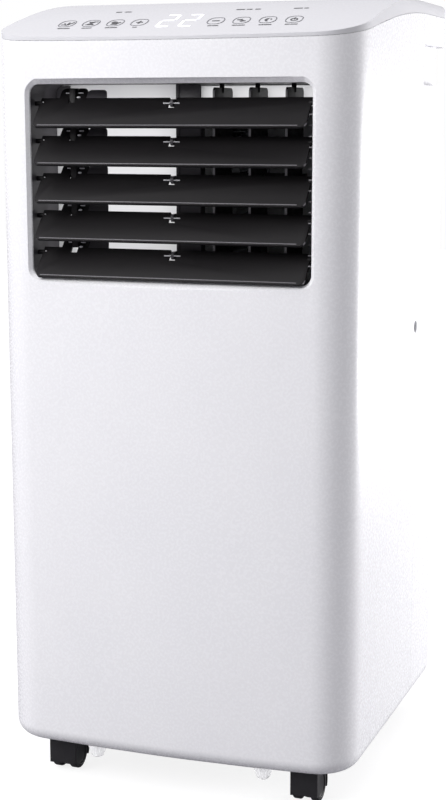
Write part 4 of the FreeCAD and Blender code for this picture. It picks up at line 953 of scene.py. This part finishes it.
def paintedReflectionTab(index):
    # painted reflection: a flat grey tab beside the crank, narrower and rounded at its far end,
    # standing for the crank's reflection in the glossy white duct wall
    near, far = outlet["reflectionTabReach"]
    reflectionTab = addCube((outlet["reflectionTabWidth"] * mm, (far - near) * mm, outlet["reflectionTabThick"] * mm))
    tipY = (far - near) / 2 * mm * 0.9

    def isTipCorner(ends):
        return min(end.y for end in ends) > tipY and abs(ends[0].x - ends[1].x) < 0.01 * mm

    selectParts(reflectionTab, faces=lambda face: face.center.y > tipY)
    editParts(lambda: bpy.ops.transform.resize(value=(outlet["reflectionTabTaper"], 1, 1)))
    selectParts(reflectionTab, edges=isTipCorner)
    editParts(lambda: bpy.ops.mesh.bevel(
        offset=outlet["reflectionTabRound"] * mm, segments=4, affect="EDGES"))
    applyModifier(reflectionTab, "BEVEL", width=0.3 * mm, segments=2)
    y, z = onBlade(index, -(near + far) / 2, 0)
    reflectionTab.rotation_euler = (tilt, 0, 0)
    reflectionTab.location = (outlet["reflectionTabAt"] * mm, y * mm, z * mm)
    clearSelection()
    reflectionTab.select_set(True)
    bpy.ops.object.transform_apply()
    return reflectionTab


def makeLinkBar():
    low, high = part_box("louver_tie_bar")
    axis = (low[1] + high[1]) / 2
    front = axis - outlet["barFront"] * mm
    rear = axis + outlet["barRear"] * mm
    bar = addCube((2 * outlet["barHalf"] * mm, rear - front, high[2] - low[2]),
                  ((low[0] + high[0]) / 2, (front + rear) / 2, (low[2] + high[2]) / 2))
    bar.name = "link_bar"
    applyModifier(bar, "BEVEL", width=outlet["barRound"] * mm, segments=2)
    finishPiece(bar, "tie_bar", "satinBlackAbs", ("louver_tie_bar",))


def makeVanes():
    for index in (1, 2, 3):
        node = "vane_" + str(index)
        vane = copyOfNode(node, "vane_blade_" + str(index))
        applyModifier(vane, "BEVEL", width=outlet["vaneRound"] * mm, segments=2,
                      limit_method="ANGLE", angle_limit=math.radians(40), use_clamp_overlap=True)
        finishPiece(vane, node, "satinBlackAbs", (node,))
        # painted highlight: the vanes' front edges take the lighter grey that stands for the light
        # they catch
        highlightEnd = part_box(node)[0][1] / mm + outlet["vaneHighlightDepth"]
        paintEdgeHighlight(vane, lambda at, normal: at.y < highlightEnd and abs(normal.z) < 0.5)


# Inner work behind the blades, in millimetres: x, y and z from and to, and how round it is
innerWork = {
    "centre_mullion": {
        "x": (-1.0, 20.0), "y": (-133.1, -130.9), "z": (450.8, 608.2), "round": 0.8,
        "slot": "louver_black", "finish": "graphiteAbs",
    },
    "corner_block": {
        "x": (-122.2, -109), "y": (-105.6, -103.9), "z": (591, 608.3), "round": 0.7,
        "slot": "louver_black", "finish": "graphiteAbs",
    },
    "air_guide": {
        "x": (1.9, 121.3), "y": (-84.8, -83.2), "z": (591, 608.2), "round": 0.5,
        "slot": "duct_white", "finish": "glossWhiteStyrene",
    },
}
comb = {
    "x": (118.6, 122.4), "y": (-154.0, -148.5), "top": 584.3, "pitch": 8.5, "ledges": 15,
    "thick": 0.9, "round": 0.3,
}


def roundedBlock(x, y, z, radius, segments):
    size = [(high - low) * mm for low, high in (x, y, z)]
    block = addCube(size, [(low + high) / 2 * mm for low, high in (x, y, z)])
    applyModifier(block, "BEVEL", width=radius * mm, segments=segments)
    return block


def makeInnerWork():
    for name, part in innerWork.items():
        piece = roundedBlock(part["x"], part["y"], part["z"], part["round"], 3)
        piece.name = name
        finishPiece(piece, "body", part["finish"])
    # painted highlights: the comb of short ledges on the right wall, in the lighter grey that
    # stands for the light on the ribs' edges
    ledges = []
    for count in range(comb["ledges"]):
        z = comb["top"] - comb["pitch"] * count
        height = (z - comb["thick"] / 2, z + comb["thick"] / 2)
        ledges.append(roundedBlock(comb["x"], comb["y"], height, comb["round"], 2))
    finishPiece(joinPieces(ledges, "comb_glint_ledges"), "body", "paintedHighlightAbs")


# Daylight that gets in through the outlet and fills the white duct, in millimetres and watts
daylight = {
    "ductGlow": {"x": (-118, -3), "z": (451, 608), "y": -128.5, "power": 0.058},
    "guideGlow": {"x": (3, 120), "z": (590, 608), "y": -89.5, "power": 0.0062},
    "vaneGlow": {"x": (24, 120), "z": (452, 588), "y": -135, "power": 0.004},
}


def lightTheOutlet():
    for name, lamp in daylight.items():
        light = bpy.data.lights.new(name, "AREA")
        light.shape = "RECTANGLE"
        light.size = (lamp["x"][1] - lamp["x"][0]) * mm
        light.size_y = (lamp["z"][1] - lamp["z"][0]) * mm
        light.energy = lamp["power"]
        holder = bpy.data.objects.new(name, light)
        holder.location = (sum(lamp["x"]) / 2 * mm, lamp["y"] * mm, sum(lamp["z"]) / 2 * mm)
        holder.rotation_euler = (math.radians(90), 0, 0)
        holder.visible_camera = False
        holder.visible_glossy = False
        bpy.context.scene.collection.objects.link(holder)


for index in range(outlet["louvers"]):
    makeLouver(index)
makeLinkBar()
makeVanes()
makeInnerWork()
lightTheOutlet()
print("outlet made")

# Castors and feet, in millimetres: rounded hoods and twin wheels, and clear ribbed cups
underside = {
    "hoodRound": 0.65, "wheelRound": 2.2, "archRadius": 9, "archDrop": 5.5, "archDepth": 60,
    "cups": ((-78, -138), (78, -138), (-139, 8), (139, 8)), "cupTop": 9.4, "cupTip": 4.8,
    "cupRound": 2.4, "cupWall": 1.0,
    "ribs": 14, "ribDeep": 0.9, "ribWide": 0.8, "ribRound": 0.25,
    "ribStand": 0.25, "ribShorter": 4.5, "ribLift": 1.2,
}


def carveHood(piece):
    # cuts a shallow arch across the hood from front to back, so that the wheels show as two lobes
    points = [vertex.co for vertex in piece.data.vertices]
    low = [min(point[i] for point in points) for i in range(3)]
    high = [max(point[i] for point in points) for i in range(3)]
    archAt = ((low[0] + high[0]) / 2, (low[1] + high[1]) / 2,
              low[2] - underside["archDrop"] * mm)
    clearSelection()
    bpy.ops.mesh.primitive_cylinder_add(
        vertices=48, radius=underside["archRadius"] * mm, depth=underside["archDepth"] * mm,
        rotation=(math.radians(90), 0, 0), location=archAt)
    cutter = bpy.context.object
    bpy.ops.object.transform_apply()
    applyModifier(piece, "BOOLEAN", operation="DIFFERENCE", object=cutter, solver="EXACT")
    bpy.data.objects.remove(cutter)


def makeCastors():
    kinds = {
        "hood": ("castor_", underside["hoodRound"], "charcoalNylon"),
        "wheels": ("wheels_", underside["wheelRound"], "wheelNylon"),
    }
    for place in castorPlaces:
        for kind, (body, radius, finish) in kinds.items():
            node = "castor_" + kind + "_" + place
            piece = copyOfNode(node, "rounded_" + kind + "_" + place)
            if kind == "hood":
                carveHood(piece)
            applyModifier(piece, "BEVEL", width=radius * mm, segments=3, limit_method="ANGLE",
                          angle_limit=math.radians(50), use_clamp_overlap=True)
            finishPiece(piece, body + place, finish, (node,))


def makeCup(x, y, low, high):
    clearSelection()
    bpy.ops.mesh.primitive_cone_add(
        vertices=48, radius1=underside["cupTip"] * mm, radius2=underside["cupTop"] * mm,
        depth=(high - low) * mm, location=(x * mm, y * mm, (low + high) / 2 * mm))
    cup = bpy.context.object
    bpy.ops.object.transform_apply()
    applyModifier(cup, "BEVEL", width=underside["cupRound"] * mm, segments=4,
                  limit_method="ANGLE", angle_limit=math.radians(45))
    # open at the top, then given its wall
    selectParts(cup, faces=lambda face: face.center.z / mm > high - 0.2 and face.normal.z > 0.7)
    editParts(lambda: bpy.ops.mesh.delete(type="FACE"))
    applyModifier(cup, "SOLIDIFY", thickness=underside["cupWall"] * mm, offset=-1)
    return cup


def makeRib(x, y, low, high, turn):
    # a thin rib that leans with the cup's side
    top, tip = underside["cupTop"], underside["cupTip"]
    middle = (top + tip) / 2 + underside["ribStand"]
    rib = addCube((underside["ribDeep"] * mm, underside["ribWide"] * mm,
                   (high - low - underside["ribShorter"]) * mm))
    rib.rotation_euler = (0, math.atan2(top - tip, high - low), turn)
    rib.location = ((x + middle * math.cos(turn)) * mm, (y + middle * math.sin(turn)) * mm,
                    ((low + high) / 2 + underside["ribLift"]) * mm)
    bpy.ops.object.transform_apply()
    applyModifier(rib, "BEVEL", width=underside["ribRound"] * mm, segments=2)
    return rib


def makeCups():
    low, high = (corner[2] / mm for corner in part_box("bumper_cups"))
    parts = []
    for x, y in underside["cups"]:
        parts.append(makeCup(x, y, low, high))
        for count in range(underside["ribs"]):
            turn = 2 * math.pi * count / underside["ribs"]
            parts.append(makeRib(x, y, low, high, turn))
    piece = joinPieces(parts, "ribbed_cups")
    finishPiece(piece, "body", "clearPolypropylene", ("bumper_cups",))


makeCastors()
makeCups()
print("castors and cups made")
